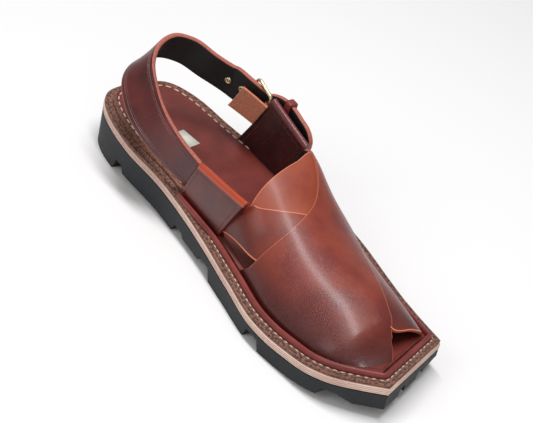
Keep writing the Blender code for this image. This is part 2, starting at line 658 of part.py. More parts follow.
def strap_samples():
    """Evenly walked centre line: point, direction forward, direction up across, direction to the foot."""
    knots = strap_knots()
    marks = [0.0]
    for (a, _), (b, _) in zip(knots, knots[1:]):
        marks.append(marks[-1] + (b - a).length)
    total = marks[-1]
    samples = []
    for i in range(STRAP_STEPS + 1):
        mark = total * i / STRAP_STEPS
        values = []
        for vector_index in (0, 1):
            for axis in range(3):
                values.append(curve_value(marks, [knot[vector_index][axis] for knot in knots], mark))
        samples.append([Vector(values[:3]), Vector(values[3:]).normalized(), mark])
    frames = []
    for i, (point, lean, mark) in enumerate(samples):
        before = samples[max(i - 1, 0)][0]
        after = samples[min(i + 1, STRAP_STEPS)][0]
        tangent = (after - before).normalized()
        up = (lean - tangent * lean.dot(tangent)).normalized()
        frames.append((point, tangent, up, tangent.cross(up), mark))
    return frames


def strap_frame_at(frames, mark):
    """Frame of the strap at a distance along it."""
    for a, b in zip(frames, frames[1:]):
        if a[4] <= mark <= b[4]:
            t = (mark - a[4]) / (b[4] - a[4])
            return [a[i].lerp(b[i], t) for i in range(4)]
    return list(frames[-1][:4])


def prong_side(far):
    """How far the prong stands out of the frame's plane, from the fixed bar to the far bar."""
    rest = WIRE_RADIUS + GAP + PRONG_RADIUS
    hook = WIRE_RADIUS + GAP + PRONG_RADIUS
    return rest * min(max((far - hook) / (FRAME_REACH - hook), 0.0), 1.0)


def prong_mark(frames):
    """Distance along the strap where the prong goes through it."""
    middle, bar, reach, out = buckle_axes()
    for a, b in zip(frames, frames[1:]):
        side_a = (a[0] - middle).dot(out) - prong_side((a[0] - middle).dot(reach))
        side_b = (b[0] - middle).dot(out) - prong_side((b[0] - middle).dot(reach))
        if side_a <= 0.0 < side_b and (a[0] - middle).length < 2.0 * FRAME_REACH:
            return a[4] + (b[4] - a[4]) * -side_a / (side_b - side_a)
    return frames[-1][4]


def disc_bar(name, frame, radii, half_length, sides=12):
    """A short bar through the strap, round or oval."""
    point, tangent, up, inward = frame
    rings = []
    for far in (-half_length, half_length):
        rings.append([point + inward * far + tangent * math.cos(2.0 * math.pi * k / sides) * radii[0]
                      + up * math.sin(2.0 * math.pi * k / sides) * radii[1]
                      for k in range(sides)])
    return loft(name, rings)


def make_back_strap(frames):
    total = frames[-1][4]
    rings = []
    for point, tangent, up, inward, mark in frames:
        left = max(total - mark, 0.0) / TAIL_TIP
        share = 1.0 if left >= 1.0 else 0.18 + 0.82 * math.sqrt(1.0 - (1.0 - left) ** 2)
        half = up * STRAP_WIDTH / 2.0 * share
        wall = inward * STRAP_WALL / 2.0
        rings.append([point + half - wall, point + half + wall, point - half + wall, point - half - wall])
    strap = loft("back_strap", rings)
    hole = prong_mark(frames)
    cut(strap, disc_bar("prong_hole", strap_frame_at(frames, hole), PRONG_HOLE, 2.0 * STRAP_WALL))
    for number, pitch in enumerate(EYELET_PLACES, start=1):
        frame = strap_frame_at(frames, hole + pitch * EYELET_PITCH)
        radius = EYELET_BORE + EYELET_WALL + GAP
        cut(strap, disc_bar("eyelet_hole_%d" % number, frame, (radius, radius), 2.0 * STRAP_WALL))
        make_eyelet("eyelet_%d" % number, frame)
    return strap


def make_eyelet(name, frame):
    """A brass spool through the strap, with a rolled rim on each face."""
    point, tangent, up, inward = frame
    tube_radius = EYELET_BORE + EYELET_WALL
    rim_radius = tube_radius + EYELET_FLANGE
    seat = STRAP_WALL / 2.0 + EYELET_SEAT
    outer_end = seat + RIM_THICKNESS
    profile = [(EYELET_BORE, -outer_end), (rim_radius, -outer_end), (rim_radius, -seat), (tube_radius, -seat),
               (tube_radius, seat), (rim_radius, seat), (rim_radius, outer_end), (EYELET_BORE, outer_end)]
    sides = 12
    rings = []
    for k in range(sides):
        angle = 2.0 * math.pi * k / sides
        ray = tangent * math.cos(angle) + up * math.sin(angle)
        rings.append([point + ray * radius + inward * far for radius, far in profile])
    return loft(name, rings, ring_is_loop=True)


def make_buckle_prong():
    """A wire hooked on the fixed bar, through the strap and over the far bar."""
    middle, bar, reach, out = buckle_axes()
    hook = WIRE_RADIUS + GAP + PRONG_RADIUS
    path = []
    for step in range(7):
        angle = math.radians(-200.0 + 200.0 * step / 6.0)
        path.append((hook * math.cos(angle), hook * math.sin(angle)))
    for share in (0.3, 0.5, 0.75, 1.0):
        path.append((FRAME_REACH * share, prong_side(FRAME_REACH * share)))
    path.append((FRAME_REACH + 1.6 * WIRE_RADIUS, prong_side(FRAME_REACH) * 0.95))
    points = [middle + reach * far + out * side for far, side in path]
    return tube("buckle_prong", points, PRONG_RADIUS, 8, False)


def make_keeper(frames):
    """A closed leather loop round the tail."""
    point, tangent, up, inward = strap_frame_at(frames, prong_mark(frames) + KEEPER_PLACE * STRAP_WIDTH)
    outer_up = STRAP_WIDTH / 2.0 + KEEPER_CLEARANCE + KEEPER_WALL
    outer_in = STRAP_WALL / 2.0 + KEEPER_CLEARANCE + KEEPER_WALL
    rings = []
    for up_side, in_side in ((1, -1), (1, 1), (-1, 1), (-1, -1)):
        corner = point + up * up_side * outer_up + inward * in_side * outer_in
        inner = point + up * up_side * (outer_up - KEEPER_WALL) + inward * in_side * (outer_in - KEEPER_WALL)
        half = tangent * KEEPER_WIDTH / 2.0
        rings.append([corner - half, corner + half, inner + half, inner - half])
    return loft("keeper", rings, ring_is_loop=True)


def make_buckle_guard():
    """A suede flap behind the buckle, from the sleeve back along the inner side of the strap."""
    middle, bar, reach, out = buckle_axes()
    near_side = -(SLEEVE_RADIUS + GAP + GUARD_WALL * 0.55)
    far_side = -(WIRE_RADIUS + 3.0 * GAP + STRAP_WALL + EYELET_SEAT + RIM_THICKNESS + GUARD_WALL)
    rings = []
    for step in range(5):
        share = step / 4.0
        far = GUARD_START + GUARD_LENGTH * share
        side = near_side + (far_side - near_side) * min(far / FRAME_REACH, 1.2)
        slip = -GUARD_DROP * share
        centre = middle + reach * far + out * side + bar * slip
        half = bar * GUARD_HEIGHT / 2.0
        wall = out * GUARD_WALL / 2.0
        rings.append([centre + half + wall, centre - half + wall, centre - half - wall, centre + half - wall])
    return loft("buckle_guard", rings)


def make_piping():
    """A leather bead outside the foot of the upper, from the inner ear round the toe to the outer ear."""
    path_inset = PIPING_CLEARANCE + PIPING_WIDTH / 2.0
    points, count = outline(lambda at, is_inner: rim_inset(at, is_inner) - path_inset)
    inner_end = EARS["ear_inner"]["foot"][0] * LENGTH
    outer_end = EARS["ear_outer"]["foot"][1] * LENGTH
    front = [point for point in points[:count + 1] if point[0] >= inner_end]
    back = [point for point in points[count + 1:] if point[0] >= outer_end]
    walk = thinned(front, PIPING_STEP) + rounded_gap(front[-1], back[0]) + thinned(back, PIPING_STEP)
    rings = []
    for i, (along, side) in enumerate(walk):
        before = walk[max(i - 1, 0)]
        after = walk[min(i + 1, len(walk) - 1)]
        forward = Vector((after[0] - before[0], after[1] - before[1])).normalized()
        across = Vector((-forward.y, forward.x))
        from_end = min(i, len(walk) - 1 - i)
        width = PIPING_WIDTH * (0.7 + 0.3 * min(from_end / 4.0, 1.0))
        base = welt_top(along) + GAP
        ring = []
        for k in range(7):
            angle = math.pi * k / 6.0
            reach = math.cos(angle) * width / 2.0
            ring.append(place(along + across.x * reach, side + across.y * reach,
                              base + math.sin(angle) * PIPING_HEIGHT))
        rings.append(ring)
    return loft("piping", rings)


def thinned(points, step):
    kept = [points[0]]
    for point in points[1:-1]:
        if math.dist(point, kept[-1]) >= step:
            kept.append(point)
    return kept + [points[-1]]


def rounded_gap(start, end):
    """Points along a straight stretch."""
    return [(start[0] + (end[0] - start[0]) * share, start[1] + (end[1] - start[1]) * share)
            for share in (0.25, 0.5, 0.75)]


def give_material(piece, name):
    colour, roughness, metal = MATERIALS[name]
    material = bpy.data.materials.new(piece.name)
    material.use_nodes = True
    shader = material.node_tree.nodes["Principled BSDF"]
    shader.inputs["Base Color"].default_value = (*colour, 1.0)
    shader.inputs["Roughness"].default_value = roughness
    shader.inputs["Metallic"].default_value = metal
    piece.data.materials.clear()
    piece.data.materials.append(material)
    if name in ROUND_PIECES:
        piece.data.shade_smooth()
        piece.data.set_sharp_from_angle(angle=math.radians(SMOOTH_ANGLE))


def main():
    for item in list(bpy.data.objects):
        bpy.data.objects.remove(item)
    make_outsole()
    make_midsole()
    make_welt()
    make_piping()
    make_insole()
    upper = make_upper()
    make_ear("ear_inner", "ear_inner")
    make_ear_outer()
    frames = strap_samples()
    strap = make_back_strap(frames)
    for side in EARS:
        cut(upper, make_ear(side + "_room", side, GAP))
    cut(strap, make_ear("strap_end_room", "ear_inner", GAP))
    make_buckle_frame()
    make_buckle_prong()
    make_keeper(frames)
    make_buckle_guard()
    for piece in bpy.data.objects:
        if not piece.hide_render:
            give_material(piece, "eyelet" if piece.name.startswith("eyelet") else piece.name)


main()
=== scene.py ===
import math
import random

import bmesh
import bpy
import numpy as np
from mathutils import Matrix, Vector


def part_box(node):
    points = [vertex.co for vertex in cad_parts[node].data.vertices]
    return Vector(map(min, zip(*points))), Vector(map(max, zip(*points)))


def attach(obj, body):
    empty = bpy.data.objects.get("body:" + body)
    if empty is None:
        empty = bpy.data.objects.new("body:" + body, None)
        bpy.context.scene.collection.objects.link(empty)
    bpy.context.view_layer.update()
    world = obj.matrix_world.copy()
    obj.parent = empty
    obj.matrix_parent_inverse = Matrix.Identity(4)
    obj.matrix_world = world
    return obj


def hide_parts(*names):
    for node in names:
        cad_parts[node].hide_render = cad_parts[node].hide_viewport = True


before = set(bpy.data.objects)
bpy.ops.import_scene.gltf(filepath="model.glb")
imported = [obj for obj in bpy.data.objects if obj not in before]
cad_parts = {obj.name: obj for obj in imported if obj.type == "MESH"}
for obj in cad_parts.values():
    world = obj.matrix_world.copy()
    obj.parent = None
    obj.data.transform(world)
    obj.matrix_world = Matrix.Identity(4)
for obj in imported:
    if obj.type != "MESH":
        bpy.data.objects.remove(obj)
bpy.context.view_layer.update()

# Left peshawari chappal: crossed vamp straps, folded ears, buckled back strap, cleated sole.
# Metres, toe to -Y, outer side +X. Shapes follow the CAD solids, with finer surfaces.

soleLow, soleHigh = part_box("outsole")
shoeLength = soleHigh[1] - soleLow[1]
ballWidth = soleHigh[0] - soleLow[0]
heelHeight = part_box("midsole")[1][2]
random.seed(7)


def columns(names, rows):
    return {name: [row[i] for row in rows] for i, name in enumerate(names.split())}


# The sole: heights in metres, tables in shares of the shoe's length, ball width and heights
sole = {
    "ballHeight": 0.0141,
    "toeSpring": 0.0078,
    "bandThickness": 0.0045,
    "weltThickness": 0.0022,
    "insoleThickness": 0.0016,
    "heelInsoleInset": 0.0055,
    "gap": 0.0003,
    "bandGrooves": (0.0012, 0.0024, 0.0035),
    "innerEdge": columns("at side", [
        (0.000, -0.007), (0.004, -0.118), (0.013, -0.200), (0.025, -0.242), (0.040, -0.272), (0.065, -0.303),
        (0.100, -0.328), (0.185, -0.349), (0.336, -0.331), (0.503, -0.371), (0.621, -0.425), (0.730, -0.469),
        (0.822, -0.446), (0.889, -0.411), (0.923, -0.366), (0.960, -0.278), (1.000, -0.166)]),
    "outerEdge": columns("at side", [
        (0.000, -0.007), (0.004, 0.112), (0.013, 0.196), (0.025, 0.236), (0.040, 0.265), (0.065, 0.296),
        (0.100, 0.325), (0.201, 0.369), (0.302, 0.420), (0.403, 0.492), (0.527, 0.531), (0.638, 0.511),
        (0.738, 0.463), (0.839, 0.411), (0.928, 0.358)]),
    "deck": columns("at fall spring", [
        (0.000, 1.000, 0.00), (0.100, 0.868, 0.00), (0.201, 0.690, 0.00), (0.302, 0.560, 0.00),
        (0.403, 0.401, 0.00), (0.503, 0.243, 0.00), (0.621, 0.105, 0.00), (0.688, 0.040, 0.00),
        (0.780, 0.000, 0.00), (0.845, 0.000, 0.16), (0.906, 0.000, 0.47), (1.000, 0.000, 1.00)]),
}

# The upper: rim is the foot's inset and last the form under the straps; turn runs round the last, where -1 is
# the inner foot, 0 the ridge and 1 the outer foot; layDown presses the over strap down at the toe
upper = {
    "instepHeight": 0.0480,
    "wall": 0.0020,
    "overlapStep": 0.0011,
    "tongueSeat": -0.0004,
    "layDown": (0.880, 0.950, 0.25),
    "rim": columns("at inner outer", [
        (0.200, 0.030, 0.020), (0.250, 0.032, 0.029), (0.322, 0.035, 0.068), (0.385, 0.041, 0.105),
        (0.440, 0.056, 0.112), (0.510, 0.079, 0.108), (0.600, 0.086, 0.098), (0.700, 0.085, 0.086),
        (0.800, 0.084, 0.084), (1.000, 0.084, 0.084)]),
    "last": columns("at height ridge tuck inner outer", [
        (0.370, 0.93, 0.200, 0.040, 3.0, 4.0), (0.476, 0.94, 0.185, 0.070, 3.0, 4.0),
        (0.503, 0.93, 0.150, 0.066, 2.8, 3.4), (0.554, 0.84, 0.080, 0.042, 2.4, 2.4),
        (0.604, 0.69, 0.024, 0.004, 2.0, 2.0), (0.654, 0.60, -0.012, 0.000, 1.8, 1.85),
        (0.705, 0.545, -0.024, 0.000, 1.7, 1.85), (0.755, 0.515, -0.010, 0.000, 1.7, 1.85),
        (0.805, 0.480, 0.000, 0.000, 1.7, 1.85), (0.856, 0.390, 0.005, 0.000, 1.7, 1.85),
        (0.903, 0.245, -0.010, 0.000, 1.8, 1.9), (0.930, 0.135, -0.065, 0.000, 1.8, 1.9),
        (0.946, 0.035, -0.110, 0.000, 1.8, 1.9), (0.962, 0.005, -0.150, 0.000, 1.8, 1.9)]),
    "overStrap": columns("atA turnA atB turnB", [
        (0.462, 0.50, 0.396, 0.94), (0.490, 0.40, 0.455, 0.90), (0.520, 0.33, 0.520, 0.84),
        (0.560, 0.24, 0.590, 0.75), (0.598, 0.11, 0.655, 0.63), (0.624, -0.06, 0.711, 0.50),
        (0.638, -0.30, 0.758, 0.40), (0.639, -0.60, 0.799, 0.31), (0.632, -0.84, 0.832, 0.23),
        (0.611, -1.00, 0.859, 0.17), (0.671, -1.00, 0.883, 0.12), (0.755, -1.00, 0.903, 0.08),
        (0.839, -1.00, 0.917, 0.15), (0.899, -1.00, 0.932, 0.36), (0.927, -1.00, 0.944, 0.70),
        (0.946, -1.00, 0.952, 1.00)]),
    "underStrap": columns("atA turnA atB turnB", [
        (0.553, -0.50, 0.508, -0.93), (0.566, -0.45, 0.540, -0.87), (0.583, -0.33, 0.577, -0.82),
        (0.602, -0.15, 0.628, -0.75), (0.618, 0.05, 0.671, -0.62), (0.624, 0.25, 0.715, -0.48),
        (0.624, 0.45, 0.758, -0.35), (0.617, 0.70, 0.799, -0.22), (0.600, 1.00, 0.839, -0.10),
        (0.671, 1.00, 0.872, 0.00), (0.755, 1.00, 0.903, 0.12), (0.839, 1.00, 0.905, 0.45),
        (0.895, 1.00, 0.904, 0.90)]),
    "tongue": columns("atA turnA atB turnB", [
        (0.552, -0.60, 0.640, -0.45), (0.537, -0.40, 0.652, -0.30), (0.524, -0.20, 0.660, -0.15),
        (0.512, -0.02, 0.662, 0.00), (0.503, 0.14, 0.655, 0.15), (0.494, 0.28, 0.640, 0.30),
        (0.485, 0.42, 0.620, 0.42), (0.478, 0.56, 0.590, 0.56)]),
}

# The ears: foot and crest ends along the shoe, crest side and height at the back and the front
ears = {
    "wall": 0.0044,
    "innerEar": {"isInner": True, "foot": (0.369, 0.508), "crest": (0.401, 0.557), "side": (-0.266, -0.262),
                 "height": (0.610, 0.745), "swell": -0.010},
    "outerEar": {"isInner": False, "foot": (0.245, 0.386), "crest": (0.322, 0.454), "side": (0.348, 0.348),
                 "height": (0.963, 0.823), "swell": 0.010},
}


# Numbers and curves
weldDistance = 0.00002
sharpAngle = math.radians(50.0)
edgeSteps = 150    # points along each half outline
upWay = Vector((0.0, 0.0, 1.0))


def unit(vectors):
    return vectors / np.linalg.norm(vectors, axis=-1, keepdims=True)


def between(pair, share):
    return pair[0] + (pair[1] - pair[0]) * share


def smoothValue(xs, ys, x):
    # a smooth curve through the columns of a table
    xs, ys = np.asarray(xs, float), np.asarray(ys, float)
    x = np.clip(np.asarray(x, float), xs[0], xs[-1])
    widths = np.diff(xs)
    steps = np.diff(ys) / widths
    inside = (steps[:-1] * widths[1:] + steps[1:] * widths[:-1]) / (widths[:-1] + widths[1:])
    tangents = np.concatenate([steps[:1], inside, steps[-1:]])
    i = np.clip(np.searchsorted(xs, x, side="right") - 1, 0, len(xs) - 2)
    t = (x - xs[i]) / widths[i]
    return ((2 * t ** 3 - 3 * t ** 2 + 1) * ys[i] + (t ** 3 - 2 * t ** 2 + t) * widths[i] * tangents[i]
            + (3 * t ** 2 - 2 * t ** 3) * ys[i + 1] + (t ** 3 - t ** 2) * widths[i] * tangents[i + 1])


def read(rows, name, at):
    return smoothValue(rows["at"], rows[name], at)


def edgeSide(edge, at):
    return smoothValue(np.sqrt(edge["at"]), edge["side"], np.sqrt(np.maximum(at, 0.0))) * ballWidth


centreSide = (min(sole["innerEdge"]["side"]) + max(sole["outerEdge"]["side"])) / 2.0 * ballWidth


def place(along, side, height):
    # along from the heel, side and height to the scene's own axes
    along, side, height = np.broadcast_arrays(along, side, height)
    return np.stack([side - centreSide, shoeLength / 2.0 - along, height], axis=-1)


def deckHeight(along):
    at = np.asarray(along) / shoeLength
    fall = read(sole["deck"], "fall", at) * (heelHeight - sole["ballHeight"])
    spring = np.maximum(read(sole["deck"], "spring", at), 0.0) * sole["toeSpring"]
    return sole["ballHeight"] + fall + spring


def weltTop(along):
    return deckHeight(along) + sole["gap"] + sole["weltThickness"]


def seatHeight(along):
    # where a piece rests that stands on the welt
    return weltTop(along) + sole["gap"]


def leftOf(ways):
    return np.stack([-ways[:, 1], ways[:, 0]], axis=-1)


def outline(inset):
    # the sole's edge drawn inwards: inner side from heel to toe, then the outer side back to the heel
    heelCrowding, leastTurn = 1.6, 0.3
    shares = (np.arange(edgeSteps + 1) / edgeSteps) ** heelCrowding
    innerAt = sole["innerEdge"]["at"][-1] * shares
    outerAt = sole["outerEdge"]["at"][-1] * shares[:0:-1]
    along = np.concatenate([innerAt, outerAt]) * shoeLength
    side = np.concatenate([edgeSide(sole["innerEdge"], innerAt), edgeSide(sole["outerEdge"], outerAt)])
    points = np.stack([along, side], axis=-1)
    first = leftOf(unit(points - np.roll(points, 1, axis=0)))
    second = leftOf(unit(np.roll(points, -1, axis=0) - points))
    bisector = unit(first + second)
    if callable(inset):
        isInner = np.arange(len(points)) <= edgeSteps
        inset = np.array([inset(at, inner) for at, inner in zip(along / shoeLength, isInner)])
    distance = inset / np.maximum((bisector * first).sum(axis=1), leastTurn)
    return points + bisector * distance[:, None]


def spanTable(points, count=600, clear=0.0001):
    # inner and outer side of an outline at each station along it
    stations = np.linspace(points[:, 0].min() + clear, points[:, 0].max() - clear, count)
    low, high = np.full(count, 1.0), np.full(count, -1.0)
    for a, b in zip(points, np.roll(points, -1, axis=0)):
        if a[0] == b[0]:
            continue
        share = (stations - a[0]) / (b[0] - a[0])
        crossed = (share >= 0.0) & (share <= 1.0)
        side = a[1] + (b[1] - a[1]) * share
        low = np.where(crossed, np.minimum(low, side), low)
        high = np.where(crossed, np.maximum(high, side), high)
    return stations, low, high


def rimInset(at, isInner):
    return float(read(upper["rim"], "inner" if isInner else "outer", at)) * ballWidth


def lastInset(at, isInner):
    return rimInset(at, isInner) + upper["wall"] + upper["overlapStep"]


def insoleInset(at, isInner):
    # close to the band at the heel, up to the piping in front of the ears
    blend, underPiping = 0.05, 0.0002
    start = ears["innerEar" if isInner else "outerEar"]["foot"][0]
    heel = sole["heelInsoleInset"]
    forward = max(rimInset(at, isInner) + underPiping, heel)
    return between((heel, forward), min(max((at - start + blend) / blend, 0.0), 1.0))


rimSpan = spanTable(outline(rimInset))
lastSpan = spanTable(outline(lastInset))


def lastPoints(at, turn):
    # the form inside the straps, where each cross section is a squared ellipse
    along = at * shoeLength
    isInner = turn < 0.0
    inner = np.interp(along, lastSpan[0], lastSpan[1])
    outer = np.interp(along, lastSpan[0], lastSpan[2]) - read(upper["last"], "tuck", at) * ballWidth
    foot = np.where(isInner, inner, outer)
    ridge = read(upper["last"], "ridge", at) * ballWidth
    square = np.where(isInner, read(upper["last"], "inner", at), read(upper["last"], "outer", at))
    height = read(upper["last"], "height", at) * upper["instepHeight"]
    angle = (1.0 - np.abs(turn)) * math.pi / 2.0
    across = np.abs(np.cos(angle))
    up = np.abs(np.sin(angle))
    size = (across ** square + up ** square) ** (-1.0 / square)
    return np.stack([ridge + (foot - ridge) * across * size, along, seatHeight(along) + height * up * size],
                    axis=-1)


def upperPoints(at, turn, offset):
    # points that stand off from the last along its normal, never below the welt
    atStep, turnStep = 0.004, 0.03
    forward = lastPoints(at + atStep, turn) - lastPoints(at - atStep, turn)
    sideways = (lastPoints(at, np.minimum(turn + turnStep, 1.0))
                - lastPoints(at, np.maximum(turn - turnStep, -1.0)))
    normal = unit(np.cross(forward, sideways))
    wrong = np.where(np.abs(turn) < 0.8, normal[..., 2] < 0.0, normal[..., 0] * turn < 0.0)
    normal = np.where(wrong[..., None], -normal, normal)
    point = lastPoints(at, turn) + normal * offset
    return place(point[..., 1], point[..., 0], np.maximum(point[..., 2], seatHeight(point[..., 1])))


# Mesh helpers
def addObject(name, data):
    item = bpy.data.objects.new(name, data)
    bpy.context.collection.objects.link(item)
    return item


def meshObject(name, bm):
    mesh = bpy.data.meshes.new(name)
    bm.to_mesh(mesh)
    bm.free()
    return addObject(name, mesh)


def finishPiece(name, bm, materials, replaced=None):
    piece = meshObject(name, bm)
    piece.data.shade_smooth()
    for material in materials:
        piece.data.materials.append(material)
    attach(piece, "root")
    if replaced:
        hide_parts(replaced)
    return piece


def gridBmesh(points, uvs=None):
    # a grid with its corners at the points, and the row and column of each corner
    rows, across = points.shape[0] - 1, points.shape[1] - 1
    bm = bmesh.new()
    bmesh.ops.create_grid(bm, x_segments=rows, y_segments=across, size=1.0)
    bm.verts.index_update()
    cells = []
    for vertex in bm.verts:
        cell = round((vertex.co.x + 1.0) / 2.0 * rows), round((vertex.co.y + 1.0) / 2.0 * across)
        vertex.co = points[cell]
        cells.append(cell)
    if uvs is not None:
        layer = bm.loops.layers.uv.new("edge")
        for face in bm.faces:
            for loop in face.loops:
                loop[layer].uv = uvs[cells[loop.vert.index]]
    return bm, cells


def weld(bm):
    bmesh.ops.remove_doubles(bm, verts=bm.verts, dist=weldDistance)
    bmesh.ops.dissolve_degenerate(bm, edges=bm.edges, dist=weldDistance)


def softEdges(piece, width, segments):
    rounding = piece.modifiers.new("soft edge", "BEVEL")
    rounding.width = width
    rounding.segments = segments
    rounding.limit_method = "ANGLE"
    rounding.angle_limit = sharpAngle


def gridLengths(points, axis):
    steps = np.linalg.norm(np.diff(points, axis=axis), axis=-1)
    start = np.zeros_like(np.take(steps, [0], axis=axis))
    return np.concatenate([start, np.cumsum(steps, axis=axis)], axis=axis)


def sheetPiece(name, points, wall, materials, replaced, soft=0.0005, way=upWay):
    # a sheet from its outer surface, with its lining and its raw edge; its first coordinate is the
    # distance to the nearer long edge, its second the way along it
    over = gridLengths(points, 1)
    uvs = np.stack([np.minimum(over, over[:, -1:] - over), gridLengths(points, 0)], axis=-1)
    bm = gridBmesh(points, uvs)[0]
    weld(bm)
    bm.normal_update()
    if sum(face.normal.dot(way) * face.calc_area() for face in bm.faces) < 0.0:
        bmesh.ops.reverse_faces(bm, faces=bm.faces)
    piece = finishPiece(name, bm, materials, replaced)
    solid = piece.modifiers.new("wall", "SOLIDIFY")
    solid.thickness = wall
    solid.offset = -1.0
    solid.use_even_offset = False
    solid.material_offset = 1
    solid.material_offset_rim = 2
    softEdges(piece, soft, 2)


def tubeBmesh(points, uvs=None, closedRun=False, faceMaterial=None):
    # rings of points closed round, with filled or joined ends
    if closedRun:
        points = np.concatenate([points, points[:1]], axis=0)
    if uvs is not None:
        uvs = np.concatenate([uvs, uvs[:, :1]], axis=1)
    bm, cells = gridBmesh(np.concatenate([points, points[:, :1]], axis=1), uvs)
    if faceMaterial:
        for face in bm.faces:
            face.material_index = faceMaterial(np.mean([cells[vertex.index][1] for vertex in face.verts]))
    weld(bm)
    if not closedRun:
        bmesh.ops.holes_fill(bm, edges=bm.edges, sides=0)
    bmesh.ops.recalc_face_normals(bm, faces=bm.faces)
    return bm


def tubePiece(name, rings, material, replaced, closedRun=False):
    finishPiece(name, tubeBmesh(np.asarray(rings), closedRun=closedRun), [material], replaced)


def circleRays(count, first, second):
    turns = 2.0 * math.pi * np.arange(count) / count
    return np.outer(np.cos(turns), first) + np.outer(np.sin(turns), second)


def wirePoints(path, radii, around, closed):
    # rings square to a path
    path = np.asarray(path, float)
    radii = np.broadcast_to(radii, len(path))
    ways = np.roll(path, -1, axis=0) - np.roll(path, 1, axis=0) if closed else np.gradient(path, axis=0)
    ways = unit(ways)
    normal = np.cross(ways[0], (0.31, 0.44, 0.84))
    rings = []
    for point, way, radius in zip(path, ways, radii):
        normal = unit(normal - way * normal.dot(way))
        rings.append(point + circleRays(around, normal, np.cross(way, normal)) * radius)
    return np.array(rings)


def carve(piece, cutters):
    # cuts the closed cutters out of a piece for good
    for cutter in cutters:
        modifier = piece.modifiers.new("hole", "BOOLEAN")
        modifier.operation = "DIFFERENCE"
        modifier.solver = "EXACT"
        modifier.object = cutter
    bpy.context.view_layer.update()
    cutMesh = bpy.data.meshes.new_from_object(piece.evaluated_get(bpy.context.evaluated_depsgraph_get()))
    piece.modifiers.clear()
    piece.data = cutMesh
    for cutter in cutters:
        bpy.data.objects.remove(cutter)


# Shader helpers
def addNode(tree, kind, inputs, output=None, **settings):
    # a node with its inputs set or linked; gives back one output, or all of them
    node = tree.nodes.new("ShaderNode" + kind)
    for label, value in settings.items():
        setattr(node, label, value)
    for label, value in inputs.items():
        if isinstance(value, bpy.types.NodeSocket):
            tree.links.new(value, node.inputs[label])
        else:
            node.inputs[label].default_value = value
    return node.outputs if output is None else node.outputs[output]


def mathNode(tree, operation, *values, clamp=False):
    return addNode(tree, "Math", dict(enumerate(values)), 0, operation=operation, use_clamp=clamp)


def mixColour(tree, factor, first, second):
    first, second = [(*colour, 1.0) if isinstance(colour, tuple) else colour for colour in (first, second)]
    return addNode(tree, "Mix", {"Factor": factor, 6: first, 7: second}, 2, data_type="RGBA")


def noiseValue(tree, vector, scale, detail=4.0, roughness=0.6):
    return addNode(tree, "TexNoise", {"Vector": vector, "Scale": scale, "Detail": detail,
                                      "Roughness": roughness}, "Fac")


def rampValue(tree, value, low, high, toLow=0.0, toHigh=1.0):
    return addNode(tree, "MapRange", {"Value": value, "From Min": low, "From Max": high, "To Min": toLow,
                                      "To Max": toHigh}, "Result", interpolation_type="SMOOTHSTEP")


def darker(colour, share):
    return tuple(channel * share for channel in colour)


def newGroup(name, inputs, outputs):
    # inputs have their starting number each, or None for a vector
    group = bpy.data.node_groups.new(name, "ShaderNodeTree")
    for label, value in inputs.items():
        kind = "NodeSocketVector" if value is None else "NodeSocketFloat"
        socket = group.interface.new_socket(label, in_out="INPUT", socket_type=kind)
        if value is not None:
            socket.default_value = value
    for label in outputs:
        group.interface.new_socket(label, in_out="OUTPUT", socket_type="NodeSocketFloat")
    return group, group.nodes.new("NodeGroupInput").outputs, group.nodes.new("NodeGroupOutput").inputs


def makeGrainGroup():
    group, start, end = newGroup("leatherGrain", {"Vector": None, "Pore Scale": 1500.0},
                                 ("Height", "Mottle", "Scuffs"))
    vector = start["Vector"]
    cells = addNode(group, "TexVoronoi", {"Vector": vector, "Scale": start["Pore Scale"]}, "Distance",
                    feature="DISTANCE_TO_EDGE")
    pores = rampValue(group, cells, 0.0, 0.16)
    fine = noiseValue(group, vector, 900.0, 3.0)
    mottle = noiseValue(group, vector, 38.0, 5.0, 0.55)
    stretched = addNode(group, "Mapping", {"Vector": vector, "Rotation": (0.2, 0.1, 0.5),
                                           "Scale": (500.0, 60.0, 500.0)}, 0)
    scratch = noiseValue(group, stretched, 1.0, 2.0)
    height = mathNode(group, "MULTIPLY_ADD", fine, 0.5, mathNode(group, "MULTIPLY", pores, 0.5))
    group.links.new(height, end["Height"])
    group.links.new(rampValue(group, mottle, 0.3, 0.7), end["Mottle"])
    group.links.new(rampValue(group, scratch, 0.66, 0.74), end["Scuffs"])
    return group


def makeLineGroup():
    # a line tooled at one distance from the edge
    group, start, end = newGroup("tooledLine", {"Distance": 0.0, "Place": 0.003, "Width": 0.0005}, ("Mask",))
    away = mathNode(group, "ABSOLUTE", mathNode(group, "SUBTRACT", start["Distance"], start["Place"]))
    share = mathNode(group, "DIVIDE", away, start["Width"])
    group.links.new(mathNode(group, "SUBTRACT", 1.0, share, clamp=True), end["Mask"])
    return group


grainGroup = makeGrainGroup()
lineGroup = makeLineGroup()


def tooledLines(tree, distance, lines):
    masks = [addNode(tree, "Group", {"Distance": distance, "Place": linePlace, "Width": width}, "Mask",
                     node_tree=lineGroup) for linePlace, width in lines]
    joined = masks[0]
    for mask in masks[1:]:
        joined = mathNode(tree, "MAXIMUM", joined, mask)
    return joined


def newMaterial(name, roughness, metallic=0.0, **sockets):
    material = bpy.data.materials.new(name)
    material.use_nodes = True
    tree = material.node_tree
    shader = tree.nodes["Principled BSDF"].inputs
    shader["Roughness"].default_value = roughness
    shader["Metallic"].default_value = metallic
    for label, value in sockets.items():
        shader[label.replace("_", " ")].default_value = value
    return material, tree, shader, addNode(tree, "TexCoord", {}, "Object")


def edgeParts(tree):
    uv = addNode(tree, "UVMap", {}, "UV", uv_map="edge")
    return addNode(tree, "SeparateXYZ", {"Vector": uv})


def bumpNormal(tree, height, distance, strength, **before):
    return addNode(tree, "Bump", {"Height": height, "Distance": distance, "Strength": strength, **before},
                   "Normal")


